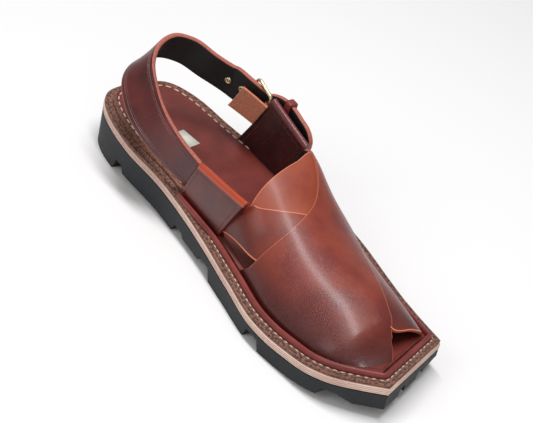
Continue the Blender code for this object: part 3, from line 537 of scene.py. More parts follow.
def connect(tree, shader, **values):
    for label, value in values.items():
        tree.links.new(value, shader[label.replace("_", " ")])


def speckleColour(tree, point, dark, light):
    # rough split leather: dark and tan fibres, about a millimetre apart
    cells = addNode(tree, "TexVoronoi", {"Vector": point, "Scale": 620.0}, "Distance")
    fibres = noiseValue(tree, point, 1100.0, 4.0, 0.7)
    mixed = mathNode(tree, "MULTIPLY_ADD", cells, 0.55, mathNode(tree, "MULTIPLY", fibres, 0.6))
    return mixColour(tree, rampValue(tree, mixed, 0.40, 0.68), dark, light), mixed


def leather(name, dark, light, roughness, coat, lines=(), poreScale=1500.0, grain=0.00008, paintedShadeLow=None,
            roughRim=None, crest=None, edgeBand=None, lineColour=None):
    # burnished leather: mottled colour, pores, scuffs, lines tooled along its edges
    material, tree, shader, point = newMaterial(name, roughness, Coat_Weight=coat, Coat_Roughness=0.22,
                                                Specular_IOR_Level=0.40)
    pores = addNode(tree, "Group", {"Vector": point, "Pore Scale": poreScale}, node_tree=grainGroup)
    where = addNode(tree, "SeparateXYZ", {"Vector": point})
    parts = edgeParts(tree)
    colour = mixColour(tree, pores["Mottle"], dark, light)
    height = pores["Height"]
    # painted shade: the leather darkens towards the foot, below the given heights
    if paintedShadeLow:
        low = rampValue(tree, where["Z"], *paintedShadeLow, 1.0, 0.0)
        colour = mixColour(tree, low, colour, darker(dark, 0.42))
    # the crest band is a painted highlight along the ears' folded top; edgeBand is the raw edge's own colour
    for band, coordinate in ((crest, "Y"), (edgeBand, "X")):
        if band:
            width, bandColour = band
            mask = rampValue(tree, parts[coordinate], width, width * 1.6, 1.0, 0.0)
            colour = mixColour(tree, mask, colour, bandColour)
    if roughRim:
        width, start = roughRim
        rim = rampValue(tree, parts["X"], width - 0.0003, width + 0.0001, 1.0, 0.0)
        rim = mathNode(tree, "MULTIPLY", rim, rampValue(tree, where["Y"], start, start + 0.004))
        rough, relief = speckleColour(tree, point, dark, (0.22, 0.095, 0.060))
        colour = mixColour(tree, rim, colour, rough)
        height = mathNode(tree, "MULTIPLY_ADD", mathNode(tree, "MULTIPLY", rim, relief), 2.5, height)
    normal = bumpNormal(tree, height, grain, 0.6)
    if lines:
        groove = tooledLines(tree, parts["X"], lines)
        colour = mixColour(tree, mathNode(tree, "MULTIPLY", groove, 0.55), colour,
                           lineColour or darker(dark, 0.3))
        normal = bumpNormal(tree, mathNode(tree, "MULTIPLY", groove, -1.0), 0.0005, 0.9, Normal=normal)
    rough = mathNode(tree, "MULTIPLY_ADD", pores["Mottle"], 0.10, roughness - 0.05)
    rough = mathNode(tree, "MULTIPLY_ADD", pores["Scuffs"], 0.16, rough)
    connect(tree, shader, Base_Color=colour, Roughness=rough, Normal=normal)
    return material


def fibrous(name, dark, light, fibres, roughness, depth, strength, **sockets):
    # fibres: scale, detail and roughness of their noise
    material, tree, shader, point = newMaterial(name, roughness, **sockets)
    height = noiseValue(tree, point, *fibres)
    colour = mixColour(tree, rampValue(tree, height, 0.35, 0.65), dark, light)
    connect(tree, shader, Base_Color=colour, Normal=bumpNormal(tree, height, depth, strength))
    return material


def rawEdge(name, dark, light):
    # cut edge of leather: layered, dry, light
    return fibrous(name, dark, light, (1400.0, 4.0, 0.7), 0.72, 0.00015, 0.7)


def suede(name, dark, light):
    return fibrous(name, dark, light, (700.0, 6.0, 0.75), 0.92, 0.0003, 0.8, Sheen_Weight=0.6,
                   Sheen_Roughness=0.5)


def splitLeather(name, dark, light):
    material, tree, shader, point = newMaterial(name, 0.75)
    colour, relief = speckleColour(tree, point, dark, light)
    connect(tree, shader, Base_Color=colour, Normal=bumpNormal(tree, relief, 0.0004, 0.8))
    return material


def metal(name, colour, roughness):
    material, tree, shader, point = newMaterial(name, roughness, 1.0)
    wear = noiseValue(tree, point, 260.0, 5.0)
    worn = mixColour(tree, rampValue(tree, wear, 0.45, 0.75), colour, darker(colour, 0.7))
    connect(tree, shader, Base_Color=worn,
            Roughness=rampValue(tree, wear, 0.3, 0.7, roughness, roughness + 0.16),
            Normal=bumpNormal(tree, noiseValue(tree, point, 1800.0, 2.0), 0.00003, 0.4))
    return material


def thread(name, colour):
    material, tree, shader, point = newMaterial(name, 0.75, Sheen_Weight=0.3)
    twist = addNode(tree, "TexWave", {"Vector": point, "Scale": 520.0}, "Fac", bands_direction="DIAGONAL")
    connect(tree, shader, Base_Color=mixColour(tree, twist, darker(colour, 0.7), colour),
            Normal=bumpNormal(tree, twist, 0.00012, 0.8))
    return material


def rubber(name, dark, light, dust):
    # moulded rubber with a little dust on its sides
    material, tree, shader, point = newMaterial(name, 0.62, Specular_IOR_Level=0.3)
    fine = noiseValue(tree, point, 1300.0, 4.0, 0.65)
    cloud = noiseValue(tree, point, 45.0, 5.0)
    colour = mixColour(tree, rampValue(tree, cloud, 0.35, 0.75), dark, light)
    dusty = mixColour(tree, rampValue(tree, fine, 0.55, 0.75, 0.0, 0.35), colour, dust)
    connect(tree, shader, Base_Color=dusty, Roughness=rampValue(tree, cloud, 0.3, 0.7, 0.52, 0.72),
            Normal=bumpNormal(tree, fine, 0.00018, 0.7))
    return material


def layeredBand(name, dark, light, grooveColour):
    # pale band in fine layers; its first coordinate is the height above the band's foot
    material, tree, shader, point = newMaterial(name, 0.6)
    layers = tooledLines(tree, edgeParts(tree)["X"], [(height, 0.0003) for height in sole["bandGrooves"]])
    cloud = noiseValue(tree, point, 60.0, 5.0)
    colour = mixColour(tree, rampValue(tree, cloud, 0.3, 0.7), dark, light)
    colour = mixColour(tree, mathNode(tree, "MULTIPLY", layers, 0.6), colour, grooveColour)
    normal = bumpNormal(tree, noiseValue(tree, point, 1100.0, 3.0), 0.00012, 0.5)
    normal = bumpNormal(tree, mathNode(tree, "MULTIPLY", layers, -1.0), 0.0003, 0.9, Normal=normal)
    connect(tree, shader, Base_Color=colour, Normal=normal)
    return material


# Leathers: dark and light colour, roughness and coat, then tooled lines as distance from the edge and width.
# The painted shade takes two heights, between which the leather darkens towards the foot; crest, a painted
# highlight along the ears' fold, and edgeBand take a width and a colour, roughRim a width and its front end.
print("materials")
# the vamp and the under strap carry painted shade that darkens them towards the foot
vampLeather = leather("vamp_leather", (0.150, 0.015, 0.011), (0.265, 0.040, 0.018), 0.38, 0.25,
                      poreScale=1100.0, grain=0.00014, paintedShadeLow=(0.020, 0.046),
                      edgeBand=(0.0004, (0.46, 0.10, 0.045)))
underLeather = leather("under_leather", (0.120, 0.016, 0.011), (0.230, 0.036, 0.017), 0.38, 0.2,
                       poreScale=1100.0, grain=0.00010, paintedShadeLow=(0.020, 0.046),
                       edgeBand=(0.0006, (0.70, 0.19, 0.085)))
tongueLeather = leather("tongue_leather", (0.240, 0.036, 0.017), (0.330, 0.066, 0.028), 0.42, 0.12,
                        edgeBand=(0.0006, (0.66, 0.19, 0.095)))
# the ears' crest colour is a painted highlight where the folded top faces the light
innerEarLeather = leather("inner_ear_leather", (0.060, 0.008, 0.008), (0.140, 0.018, 0.014), 0.34, 0.3,
                          [(0.0030, 0.0004)], crest=(0.0008, (0.42, 0.055, 0.018)),
                          lineColour=(0.20, 0.045, 0.040))
outerEarLeather = leather("outer_ear_leather", (0.022, 0.004, 0.005), (0.075, 0.010, 0.010), 0.30, 0.3,
                          [(0.0042, 0.0004)], crest=(0.0010, (0.14, 0.030, 0.030)),
                          lineColour=(0.26, 0.060, 0.055))
# the back strap's tooled crease lines are real; their lighter colour is a painted highlight along them
strapLeather = leather("strap_leather", (0.050, 0.007, 0.007), (0.115, 0.014, 0.012), 0.36, 0.25,
                       [(0.0030, 0.0004), (0.0042, 0.0003)], lineColour=(0.24, 0.055, 0.048))
liningLeather = leather("lining_leather", (0.006, 0.006, 0.007), (0.014, 0.012, 0.013), 0.6, 0.0)
insoleLeather = leather("insole_leather", (0.120, 0.018, 0.013), (0.190, 0.032, 0.024), 0.40, 0.12,
                        [(0.0032, 0.0004)], roughRim=(0.0030, 0.034))
pipingLeather = leather("piping_leather", (0.150, 0.020, 0.017), (0.250, 0.040, 0.033), 0.42, 0.15,
                        poreScale=1100.0)
weltLeather = splitLeather("welt_leather", (0.060, 0.022, 0.016), (0.240, 0.105, 0.068))
tanEdge = rawEdge("tan_edge", (0.320, 0.078, 0.052), (0.500, 0.160, 0.115))
brownEdge = rawEdge("brown_edge", (0.220, 0.050, 0.030), (0.420, 0.120, 0.075))
soleRubber = rubber("sole_rubber", (0.014, 0.016, 0.018), (0.032, 0.035, 0.038), (0.060, 0.060, 0.062))
paleBand = layeredBand("band_foam", (0.70, 0.47, 0.39), (0.84, 0.61, 0.51), (0.42, 0.25, 0.19))
guardSuede = suede("guard_suede", (0.480, 0.125, 0.052), (0.660, 0.220, 0.100))
paleBrass = metal("pale_brass", (0.80, 0.68, 0.44), 0.24)
creamThread = thread("cream_thread", (0.76, 0.58, 0.46))
darkThread = thread("dark_thread", (0.045, 0.020, 0.016))
labelPaper = rawEdge("label_paper", (0.62, 0.64, 0.55), (0.74, 0.75, 0.66))

print("sole")
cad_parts["outsole"].data.materials.clear()
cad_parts["outsole"].data.materials.append(soleRubber)


def ringStack(name, profile, material, replaced):
    # rings round the sole: each is an inset and a height above the deck; on its side, where the inset is
    # small, the first coordinate is the height above the foot
    sideInset, offSide = 0.002, -0.01
    rings = []
    for inset, lift in profile:
        along, side = outline(inset).T
        rings.append(place(along, side, deckHeight(along) + lift))
    stack = np.array(rings)
    uvs = np.zeros((*stack.shape[:2], 2))
    for k, (inset, lift) in enumerate(profile):
        uvs[k, :, 0] = lift - profile[0][1] if inset < sideInset else offSide
    finishPiece(name, tubeBmesh(stack, uvs), [material], replaced)


bandFoot = -sole["bandThickness"]
bandReach, grooveHalf, grooveDepth = 0.010, 0.0001, 0.0003
bandProfile = [(bandReach, bandFoot), (0.0006, bandFoot), (0.0001, bandFoot + 0.0004)]
for groove in sole["bandGrooves"]:
    bandProfile += [(0.0, bandFoot + groove - grooveHalf), (grooveDepth, bandFoot + groove),
                    (0.0, bandFoot + groove + grooveHalf)]
bandProfile += [(0.0001, -0.0003), (0.0005, 0.0), (bandReach, 0.0)]
ringStack("pale_band", bandProfile, paleBand, "midsole")

weltFoot = sole["gap"]
weltHigh = sole["gap"] + sole["weltThickness"]
weltReach = 0.011
ringStack("stitched_welt", [(weltReach, weltFoot), (0.0009, weltFoot), (0.0005, weltFoot + 0.0005),
                            (0.0005, weltHigh - 0.0007), (0.0008, weltHigh - 0.0001), (0.0013, weltHigh),
                            (0.0022, weltHigh - 0.0003), (0.0031, weltHigh), (weltReach, weltHigh)],
          weltLeather, "welt")


def insolePoints(rows=120, across=30):
    # rows crowd towards the heel and the toe, where the outline turns
    stations, low, high = spanTable(outline(insoleInset))
    rowShare = 0.5 - 0.5 * np.cos(math.pi * np.arange(rows + 1) / rows)
    along = between((stations[0], stations[-1]), rowShare)[:, None]
    sides = np.interp(along, stations, low), np.interp(along, stations, high)
    side = between(sides, np.linspace(0.0, 1.0, across + 1)[None, :])
    return place(along, side, seatHeight(along) + sole["insoleThickness"])


sheetPiece("insole_leather_top", insolePoints(), sole["insoleThickness"],
           [insoleLeather, insoleLeather, weltLeather], "insole", 0.0003)

# The bead round the foot of the upper, from ear to ear; taper is the number of steps of its ends
piping = {"width": 0.0035, "height": 0.0030, "clearance": 0.0008, "step": 0.0022, "taper": 12.0,
          "endShare": 0.7, "arcSteps": 12}


def resample(points, step):
    lengths = np.concatenate([[0.0], np.cumsum(np.linalg.norm(np.diff(points, axis=0), axis=1))])
    marks = np.linspace(0.0, lengths[-1], max(int(lengths[-1] / step), 2) + 1)
    return np.stack([np.interp(marks, lengths, column) for column in points.T], axis=-1)


def outlineFront(points, innerEnd, outerEnd):
    # the outline round the toe, from one place on the inner side to one on the outer side
    inner, outer = points[:edgeSteps + 1], points[edgeSteps + 1:]
    return np.concatenate([inner[inner[:, 0] >= innerEnd * shoeLength],
                           outer[outer[:, 0] >= outerEnd * shoeLength]])


def outlineHeel(points, end):
    # the outline round the heel, from the outer side to the inner side
    inner, outer = points[:edgeSteps + 1], points[edgeSteps + 1:]
    return np.concatenate([outer[outer[:, 0] <= end * shoeLength], inner[inner[:, 0] <= end * shoeLength]])


def pipingInset(at, isInner):
    return rimInset(at, isInner) - piping["clearance"] - piping["width"] / 2.0


def makePiping():
    ends = ears["innerEar"]["foot"][0], ears["outerEar"]["foot"][1]
    walk = resample(outlineFront(outline(pipingInset), *ends), piping["step"])
    across = leftOf(unit(np.gradient(walk, axis=0)))
    fromEnd = np.minimum(np.arange(len(walk)), np.arange(len(walk))[::-1])
    width = piping["width"] * between((piping["endShare"], 1.0), np.minimum(fromEnd / piping["taper"], 1.0))
    turns = math.pi * np.arange(piping["arcSteps"] + 1) / piping["arcSteps"]
    reach = np.cos(turns)[None, :] * width[:, None] / 2.0
    height = seatHeight(walk[:, :1]) + np.sin(turns)[None, :] * piping["height"]
    rings = place(walk[:, :1] + across[:, :1] * reach, walk[:, 1:] + across[:, 1:] * reach, height)
    tubePiece("leather_piping", rings, pipingLeather, "piping")


makePiping()

print("straps of the upper")


def strapPoints(rows, across, offset, layDown=None, perRow=8):
    # layDown presses the toe end towards the insole: start, end and the share of the height that is left
    knots = np.arange(len(rows["atA"]))
    t = np.arange((len(knots) - 1) * perRow + 1) / perRow
    edge = {name: smoothValue(knots, rows[name], t)[:, None] for name in rows}
    share = np.linspace(0.0, 1.0, across + 1)[None, :]
    at = between((edge["atA"], edge["atB"]), share)
    turn = np.clip(between((edge["turnA"], edge["turnB"]), share), -1.0, 1.0)
    points = upperPoints(at, turn, offset)
    if layDown:
        start, end, left = layDown
        press = np.clip((at - start) / (end - start), 0.0, 1.0)
        press = press * press * (3.0 - 2.0 * press) * (1.0 - left)
        floor = seatHeight(shoeLength / 2.0 - points[..., 1])
        points[..., 2] = floor + (points[..., 2] - floor) * (1.0 - press)
    return points


wall = upper["wall"]
underPoints = strapPoints(upper["underStrap"], 56, wall)
overPoints = strapPoints(upper["overStrap"], 64, wall + upper["overlapStep"], upper["layDown"])
tonguePoints = strapPoints(upper["tongue"], 40, wall + upper["tongueSeat"])
for name, points, face, edgeLeather in (("under_strap", underPoints, underLeather, tanEdge),
                                        ("over_strap", overPoints, vampLeather, brownEdge),
                                        ("tongue", tonguePoints, tongueLeather, tanEdge)):
    sheetPiece(name, points, wall, [face, liningLeather, edgeLeather], "upper")

print("ears")


def earMiddle(ear, alongShare, upShare):
    # the middle of the folded leather, from its back end to its front and from its foot to its crest
    footAlong = between(ear["foot"], alongShare) * shoeLength
    crestAlong = between(ear["crest"], alongShare) * shoeLength
    inward = 1.0 if ear["isInner"] else -1.0
    foot = np.interp(footAlong, rimSpan[0], rimSpan[1 if ear["isInner"] else 2]) + inward * ears["wall"] / 2.0
    crest = between(ear["side"], alongShare) * ballWidth
    low = seatHeight(footAlong)
    height = between(ear["height"], alongShare) * upper["instepHeight"]
    high = weltTop(crestAlong) + height - ears["wall"] / 2.0
    swell = ear["swell"] * ballWidth * 4.0 * upShare * (1.0 - upShare)
    return place(between((footAlong, crestAlong), upShare), between((foot, crest), upShare) + swell,
                 between((low, high), upShare))


def makeEar(name, side, material, replaced):
    # coordinates: the distance to the nearest edge and the distance to the crest
    alongSteps, upSteps, foldSteps = 48, 32, 12
    edgeRound, roundSteps = 0.0009, 3
    alongShare = np.linspace(0.0, 1.0, alongSteps + 1)[:, None]
    upShare = np.linspace(0.0, 1.0, upSteps + 1)[None, :]
    middle = earMiddle(ears[side], alongShare, upShare)
    half = np.array([ears["wall"] / 2.0, 0.0, 0.0])
    turns = math.pi * np.arange(1, foldSteps) / foldSteps
    fold = np.stack([np.cos(turns), 0.0 * turns, np.sin(turns)], axis=-1) * ears["wall"] / 2.0
    rings = np.concatenate([middle + half, middle[:, -1:] + fold[None], middle[:, ::-1] - half], axis=1)
    rise = gridLengths(middle, 1)
    toCrest = rise[:, -1:] - rise
    runs = gridLengths(middle, 0)
    edge = np.minimum(toCrest, np.minimum(runs, runs[-1:] - runs))
    face = np.stack([edge, toCrest], axis=-1)
    uvs = np.concatenate([face, np.zeros((len(face), len(turns), 2)), face[:, ::-1]], axis=1)
    softEdges(finishPiece(name, tubeBmesh(rings, uvs), [material], replaced), edgeRound, roundSteps)


makeEar("inner_ear", "innerEar", innerEarLeather, "ear_inner")
makeEar("outer_ear", "outerEar", outerEarLeather, "ear_outer")

print("back strap and buckle")

# The back strap: its route from the inner ear to the buckle, where at, side and rise are shares of the
# shoe's length, ball width and instep height, and lean is the direction from its lower edge to its upper
strap = {
    "width": 0.0240,
    "wall": 0.0030,
    "route": columns("at side rise leanAt leanSide leanUp", [
        (0.3855, -0.268, 0.850, 0.29, -0.02, 0.957), (0.333, -0.323, 0.995, 0.37, 0.15, 0.90),
        (0.287, -0.358, 1.133, 0.35, 0.35, 0.87), (0.202, -0.336, 1.315, 0.37, 0.62, 0.69),
        (0.152, -0.282, 1.479, 0.47, 0.52, 0.70), (0.121, -0.150, 1.629, 0.48, 0.23, 0.85),
        (0.110, -0.028, 1.629, 0.45, 0.19, 0.88), (0.125, 0.082, 1.571, 0.45, 0.15, 0.88),
        (0.164, 0.180, 1.446, 0.48, 0.10, 0.87), (0.205, 0.275, 1.340, 0.48, 0.07, 0.87)]),
    "tailPlaces": (0.30, 0.65, 1.0),
    "tailProud": 0.0015,
    "tailTip": 0.0120,
    "prongHole": (0.0040, 0.0020),
    "eyeletPitch": 0.0116,
    "eyeletPlaces": (-2.0, -1.0),
    "keeperPlace": 1.07,
    "keeperWidth": 0.0052,
    "keeperWall": 0.0011,
    "keeperClearance": 0.0006,
    "edgeRound": 0.0006,
    "tipShare": 0.18,
}
# Buckle, eyelets and guard in metres; barPlace is a share of the way up the outer ear's back edge, and
# lean is the way from the fixed bar to the far one
buckle = {
    "wire": 0.0011,
    "reach": 0.0160,
    "clearance": 0.0006,
    "corner": 0.0032,
    "prong": 0.0008,
    "barPlace": 0.685,
    "barSetback": 0.0016,
    "sleeve": 0.0026,
    "lean": (-0.10, 0.88, 0.46),
    "eyeletBore": 0.0011,
    "eyeletWall": 0.0005,
    "eyeletFlange": 0.0009,
    "eyeletRim": 0.0005,
    "eyeletSeat": 0.0005,
    "guardWall": 0.0016,
    "guardLength": 0.0192,
    "guardHeight": 0.0200,
    "guardStart": -0.0022,
    "guardFlare": (0.0010, 0.0040),
    "guardDrop": 0.0030,
    "guardCurl": 0.0012,
    "guardTaper": 0.06,
}


def buckleAxes():
    # middle of the fixed bar, its direction, the reach to the far bar and the way out of the shoe
    low, middle, high = [earMiddle(ears["outerEar"], 0.0, buckle["barPlace"] + share)
                         for share in (-0.3, 0.0, 0.3)]
    bar = unit(high - low)
    reach = unit(np.array(buckle["lean"]) - bar * np.dot(buckle["lean"], bar))
    out = np.cross(bar, reach)
    if out[0] < 0.0:
        out = -out
    return middle + reach * buckle["barSetback"], bar, reach, out


barMiddle, barWay, reachWay, outWay = buckleAxes()


def tailPoint(alongShare):
    # centre of the strap's tail where it lies outside the outer ear, and its way up
    ear = ears["outerEar"]
    crest = earMiddle(ear, alongShare, 1.0)
    down = unit(earMiddle(ear, alongShare, 0.0) - crest)
    standOff = (ears["wall"] / 2.0 + abs(ear["swell"]) * ballWidth + sole["gap"] + strap["keeperWall"]
                + strap["keeperClearance"] + strap["wall"] / 2.0)
    top = crest + (standOff, 0.0, ears["wall"] / 2.0 + strap["tailProud"])
    return top + down * strap["width"] / 2.0, -down


def strapFrames(steps=320):
    # marks along the strap, with its centre, tangent, way up and way in at each
    route = strap["route"]
    seat = 2.0 * sole["gap"] + strap["wall"] / 2.0
    points = [place(at * shoeLength, side * ballWidth, rise * upper["instepHeight"])
              for at, side, rise in zip(route["at"], route["side"], route["rise"])]
    leans = [(side, -at, up) for at, side, up in zip(route["leanAt"], route["leanSide"], route["leanUp"])]
    points += [barMiddle + reachWay * buckle["reach"] - outWay * (buckle["wire"] + seat),
               barMiddle + outWay * (buckle["sleeve"] + seat)]
    leans += [barWay, barWay]
    for share in strap["tailPlaces"]:
        point, lean = tailPoint(share)
        points.append(point)
        leans.append(lean)
    points, leans = np.array(points), np.array(leans)
    marks = np.concatenate([[0.0], np.cumsum(np.linalg.norm(np.diff(points, axis=0), axis=1))])
    walk = np.linspace(0.0, marks[-1], steps + 1)
    centre = np.stack([smoothValue(marks, column, walk) for column in points.T], axis=-1)
    lean = unit(np.stack([smoothValue(marks, column, walk) for column in leans.T], axis=-1))
    tangent = unit(np.gradient(centre, axis=0))
    up = unit(lean - tangent * (lean * tangent).sum(axis=1)[:, None])
    return walk, centre, tangent, up, np.cross(tangent, up)


strapWalk, strapCentre, strapTangent, strapUp, strapIn = strapFrames()


def strapFrameAt(mark):
    return [np.array([np.interp(mark, strapWalk, column) for column in values.T])
            for values in (strapCentre, strapTangent, strapUp, strapIn)]


def prongSide(far):
    rest = buckle["wire"] + sole["gap"] + buckle["prong"]
    return rest * min(max((far - rest) / (buckle["reach"] - rest), 0.0), 1.0)


def findProngMark():
    # where the strap's centre line first passes the prong's, near the buckle
    offsets = strapCentre - barMiddle
    away = [np.dot(offset, outWay) - prongSide(np.dot(offset, reachWay)) for offset in offsets]
    near = np.linalg.norm(offsets, axis=1) < 2.0 * buckle["reach"]
    for k in range(len(away) - 1):
        if away[k] <= 0.0 < away[k + 1] and near[k]:
            return between(strapWalk[k:k + 2], -away[k] / (away[k + 1] - away[k]))
    return strapWalk[-1]


prongMark = findProngMark()


def holeCutter(mark, alongRadius, upRadius):
    centre, tangent, up, inward = strapFrameAt(mark)
    ring = centre + circleRays(32, tangent * alongRadius, up * upRadius)
    rings = np.array([ring + inward * strap["wall"] * walls for walls in (-2.0, 0.0, 2.0)])
    return meshObject("plug", tubeBmesh(rings))


def makeBackStrap():
    # cross section as shares of half the width, and metres through the wall: outer face, edge, lining, edge
    faceShares = np.linspace(1.0, -1.0, 13)
    faces = len(faceShares)
    soft = strap["edgeRound"]
    halfWall = strap["wall"] / 2.0
    flat = faceShares * (1.0 - 2.0 * soft / strap["width"])
    section = [(share, -halfWall) for share in flat] + [(-1.0, -halfWall + soft), (-1.0, halfWall - soft)]
    section += [(share, halfWall) for share in flat[::-1]] + [(1.0, halfWall - soft), (1.0, -halfWall + soft)]
    share, depth = np.array(section).T
    left = np.maximum(strapWalk[-1] - strapWalk, 0.0) / strap["tailTip"]
    curve = np.sqrt(np.maximum(1.0 - (1.0 - left) ** 2, 0.0))
    narrow = np.where(left >= 1.0, 1.0, between((strap["tipShare"], 1.0), curve))
    half = strap["width"] / 2.0 * narrow[:, None]
    rings = (strapCentre[:, None] + strapUp[:, None] * (half * share)[..., None]
             + strapIn[:, None] * depth[None, :, None])
    edge = half * (1.0 - np.abs(share))
    uvs = np.stack([edge, strapWalk[:, None] + 0.0 * edge], axis=-1)

    def sectionMaterial(corner):
        if corner < faces - 1:
            return 0
        return 1 if faces + 2 <= corner < 2 * faces + 1 else 2

    piece = finishPiece("back_strap_leather", tubeBmesh(rings, uvs, faceMaterial=sectionMaterial),
                        [strapLeather, liningLeather, tanEdge], "back_strap")
    radius = buckle["eyeletBore"] + buckle["eyeletWall"] + sole["gap"] / 2.0
    eyeletMarks = [prongMark + pitch * strap["eyeletPitch"] for pitch in strap["eyeletPlaces"]]
    carve(piece, [holeCutter(prongMark, *strap["prongHole"])]
          + [holeCutter(mark, radius, radius) for mark in eyeletMarks])


makeBackStrap()


def makeEyelet(number, pitch):
    # a tube through the strap with a rolled rim on both faces
    centre, tangent, up, inward = strapFrameAt(prongMark + pitch * strap["eyeletPitch"])
    bore = buckle["eyeletBore"]
    tubeRadius = bore + buckle["eyeletWall"]
    rim = tubeRadius + buckle["eyeletFlange"]
    clear, roll = 0.0001, 0.0004
    seat = strap["wall"] / 2.0 + clear
    high = seat + buckle["eyeletRim"] + roll
    half = [(tubeRadius, seat), (rim - clear, seat), (rim, seat + 3.0 * clear), (rim - 2.0 * roll, high),
            (bore + roll, high), (bore, high * 0.86)]
    profile = [(radius, -far) for radius, far in half[::-1]] + half
    rings = [[centre + ray * radius + inward * far for radius, far in profile]
             for ray in circleRays(40, tangent, up)]
    tubePiece(f"brass_eyelet_{number}", rings, paleBrass, f"eyelet_{number}", True)


for number, pitch in enumerate(strap["eyeletPlaces"], start=1):
    makeEyelet(number, pitch)


def makeFrame():
    half = strap["width"] / 2.0 + buckle["clearance"] + buckle["wire"]
    corner, turnSteps = buckle["corner"], 8
    path = []
    for quarter, (acrossSign, isFar) in enumerate(((1, False), (1, True), (-1, True), (-1, False))):
        across = acrossSign * (half - corner)
        far = buckle["reach"] - corner if isFar else corner
        for step in range(turnSteps + 1):
            angle = math.radians(90.0 * (quarter - 1) + 90.0 * step / turnSteps)
            path.append(barMiddle + barWay * (across + corner * math.cos(angle))
                        + reachWay * (far + corner * math.sin(angle)))
    rings = wirePoints(path, buckle["wire"], 16, True)
    tubePiece("brass_frame", rings, paleBrass, "buckle_frame", True)


def makeProng():
    # hooked on the fixed bar, through the strap and over the far bar
    hook = buckle["wire"] + sole["gap"] + buckle["prong"]
    reach = buckle["reach"]
    angles = [math.radians(-200.0 + 200.0 * step / 12.0) for step in range(13)]
    way = [(hook * math.cos(angle), hook * math.sin(angle)) for angle in angles]
    way += [(reach * share, prongSide(reach * share)) for share in (0.2, 0.3, 0.45, 0.6, 0.75, 0.9, 1.0)]
    way.append((reach + 1.6 * buckle["wire"], prongSide(reach) * 0.95))
    path = [barMiddle + reachWay * far + outWay * side for far, side in way]
    radii = buckle["prong"] * np.array([1.0] * (len(path) - 2) + [0.95, 0.6])
    tubePiece("brass_prong", wirePoints(path, radii, 14, False), paleBrass, "buckle_prong")


makeFrame()
makeProng()


def makeSleeves():
    # leather turned round the fixed bar, in two halves beside the prong
    slot = buckle["prong"] + 2.0 * sole["gap"]
    far = strap["width"] / 2.0 - buckle["corner"]
    roundEnd = ((0.0, 0.86), (0.00015, 0.96), (0.0005, 1.0))
    ring = circleRays(28, reachWay, outWay) * buckle["sleeve"]
    for number, (start, end) in enumerate(((-far, -slot), (slot, far)), start=1):
        marks = [(start + step, size) for step, size in roundEnd]
        marks += [(end - step, size) for step, size in roundEnd[::-1]]
        rings = [barMiddle + barWay * mark + ring * size for mark, size in marks]
        tubePiece(f"bar_sleeve_{number}", rings, strapLeather, None)


makeSleeves()


def makeKeeper():
    # a loop with round corners; each ring is the section of its leather
    centre, tangent, up, inward = strapFrameAt(prongMark + strap["keeperPlace"] * strap["width"])
    upReach = strap["width"] / 2.0 + strap["keeperClearance"]
    inReach = strap["wall"] / 2.0 + strap["keeperClearance"]
    section = ((-1.0, 0.0), (-1.0, 0.8), (-0.86, 1.0), (0.86, 1.0), (1.0, 0.8), (1.0, 0.0))
    turnSteps = 6
    rings = []
    for quarter, (sideUp, sideIn) in enumerate(((1, -1), (1, 1), (-1, 1), (-1, -1))):
        cornerAt = centre + up * sideUp * upReach + inward * sideIn * inReach
        for step in range(turnSteps + 1):
            angle = math.radians(180.0 - 90.0 * quarter - 90.0 * step / turnSteps)
            ray = up * math.sin(angle) + inward * math.cos(angle)
            rings.append([cornerAt + tangent * edge * strap["keeperWidth"] / 2.0
                          + ray * strap["keeperWall"] * depth for edge, depth in section])
    tubePiece("keeper_loop", rings, pipingLeather, "keeper", True)


makeKeeper()


def makeGuard():
    # a flap behind the buckle that widens downwards and curls a little towards its end
    nearSide = -(buckle["sleeve"] + sole["gap"] + buckle["guardWall"] * 0.55)
    farSide = -(buckle["wire"] + 3.0 * sole["gap"] + strap["wall"] + buckle["eyeletSeat"]
                + buckle["eyeletRim"] + buckle["guardWall"])
    share = np.linspace(0.0, 1.0, 25)[:, None]
    over = np.linspace(-1.0, 1.0, 29)[None, :]
    far = buckle["guardStart"] + buckle["guardLength"] * share
    side = between((nearSide, farSide), np.minimum(far / buckle["reach"], 1.2)) + buckle["guardWall"] / 2.0
    curl = -buckle["guardCurl"] * share ** 2 * over ** 2
    narrower = 1.0 - buckle["guardTaper"] * share
    rise = over * narrower * buckle["guardHeight"] / 2.0 - buckle["guardDrop"] * share
    rise = rise + np.minimum(over, 0.0) * between(buckle["guardFlare"], share)
    points = (barMiddle + reachWay * far[..., None] + outWay * (side + curl)[..., None]
              + barWay * rise[..., None])
    sheetPiece("suede_guard", points, buckle["guardWall"], [guardSuede], "buckle_guard",
               0.0004, Vector(outWay))


makeGuard()

print("stitches")

# Stitches: inset from the sole's edge, height above the welt, length, gap and radius of a stitch
stitches = {
    "welt_stitches_dark": {"inset": 0.0022, "lift": -0.0002, "length": 0.0034, "gap": 0.0012,
                           "radius": 0.0005},
    "welt_stitches_cream": {"inset": 0.0040, "lift": 0.0001, "length": 0.0026, "gap": 0.0016,
                            "radius": 0.0004},
    "heel_stitches": {"inset": 0.0088, "lift": 0.0020, "length": 0.0046, "gap": 0.0015, "radius": 0.00055},
}


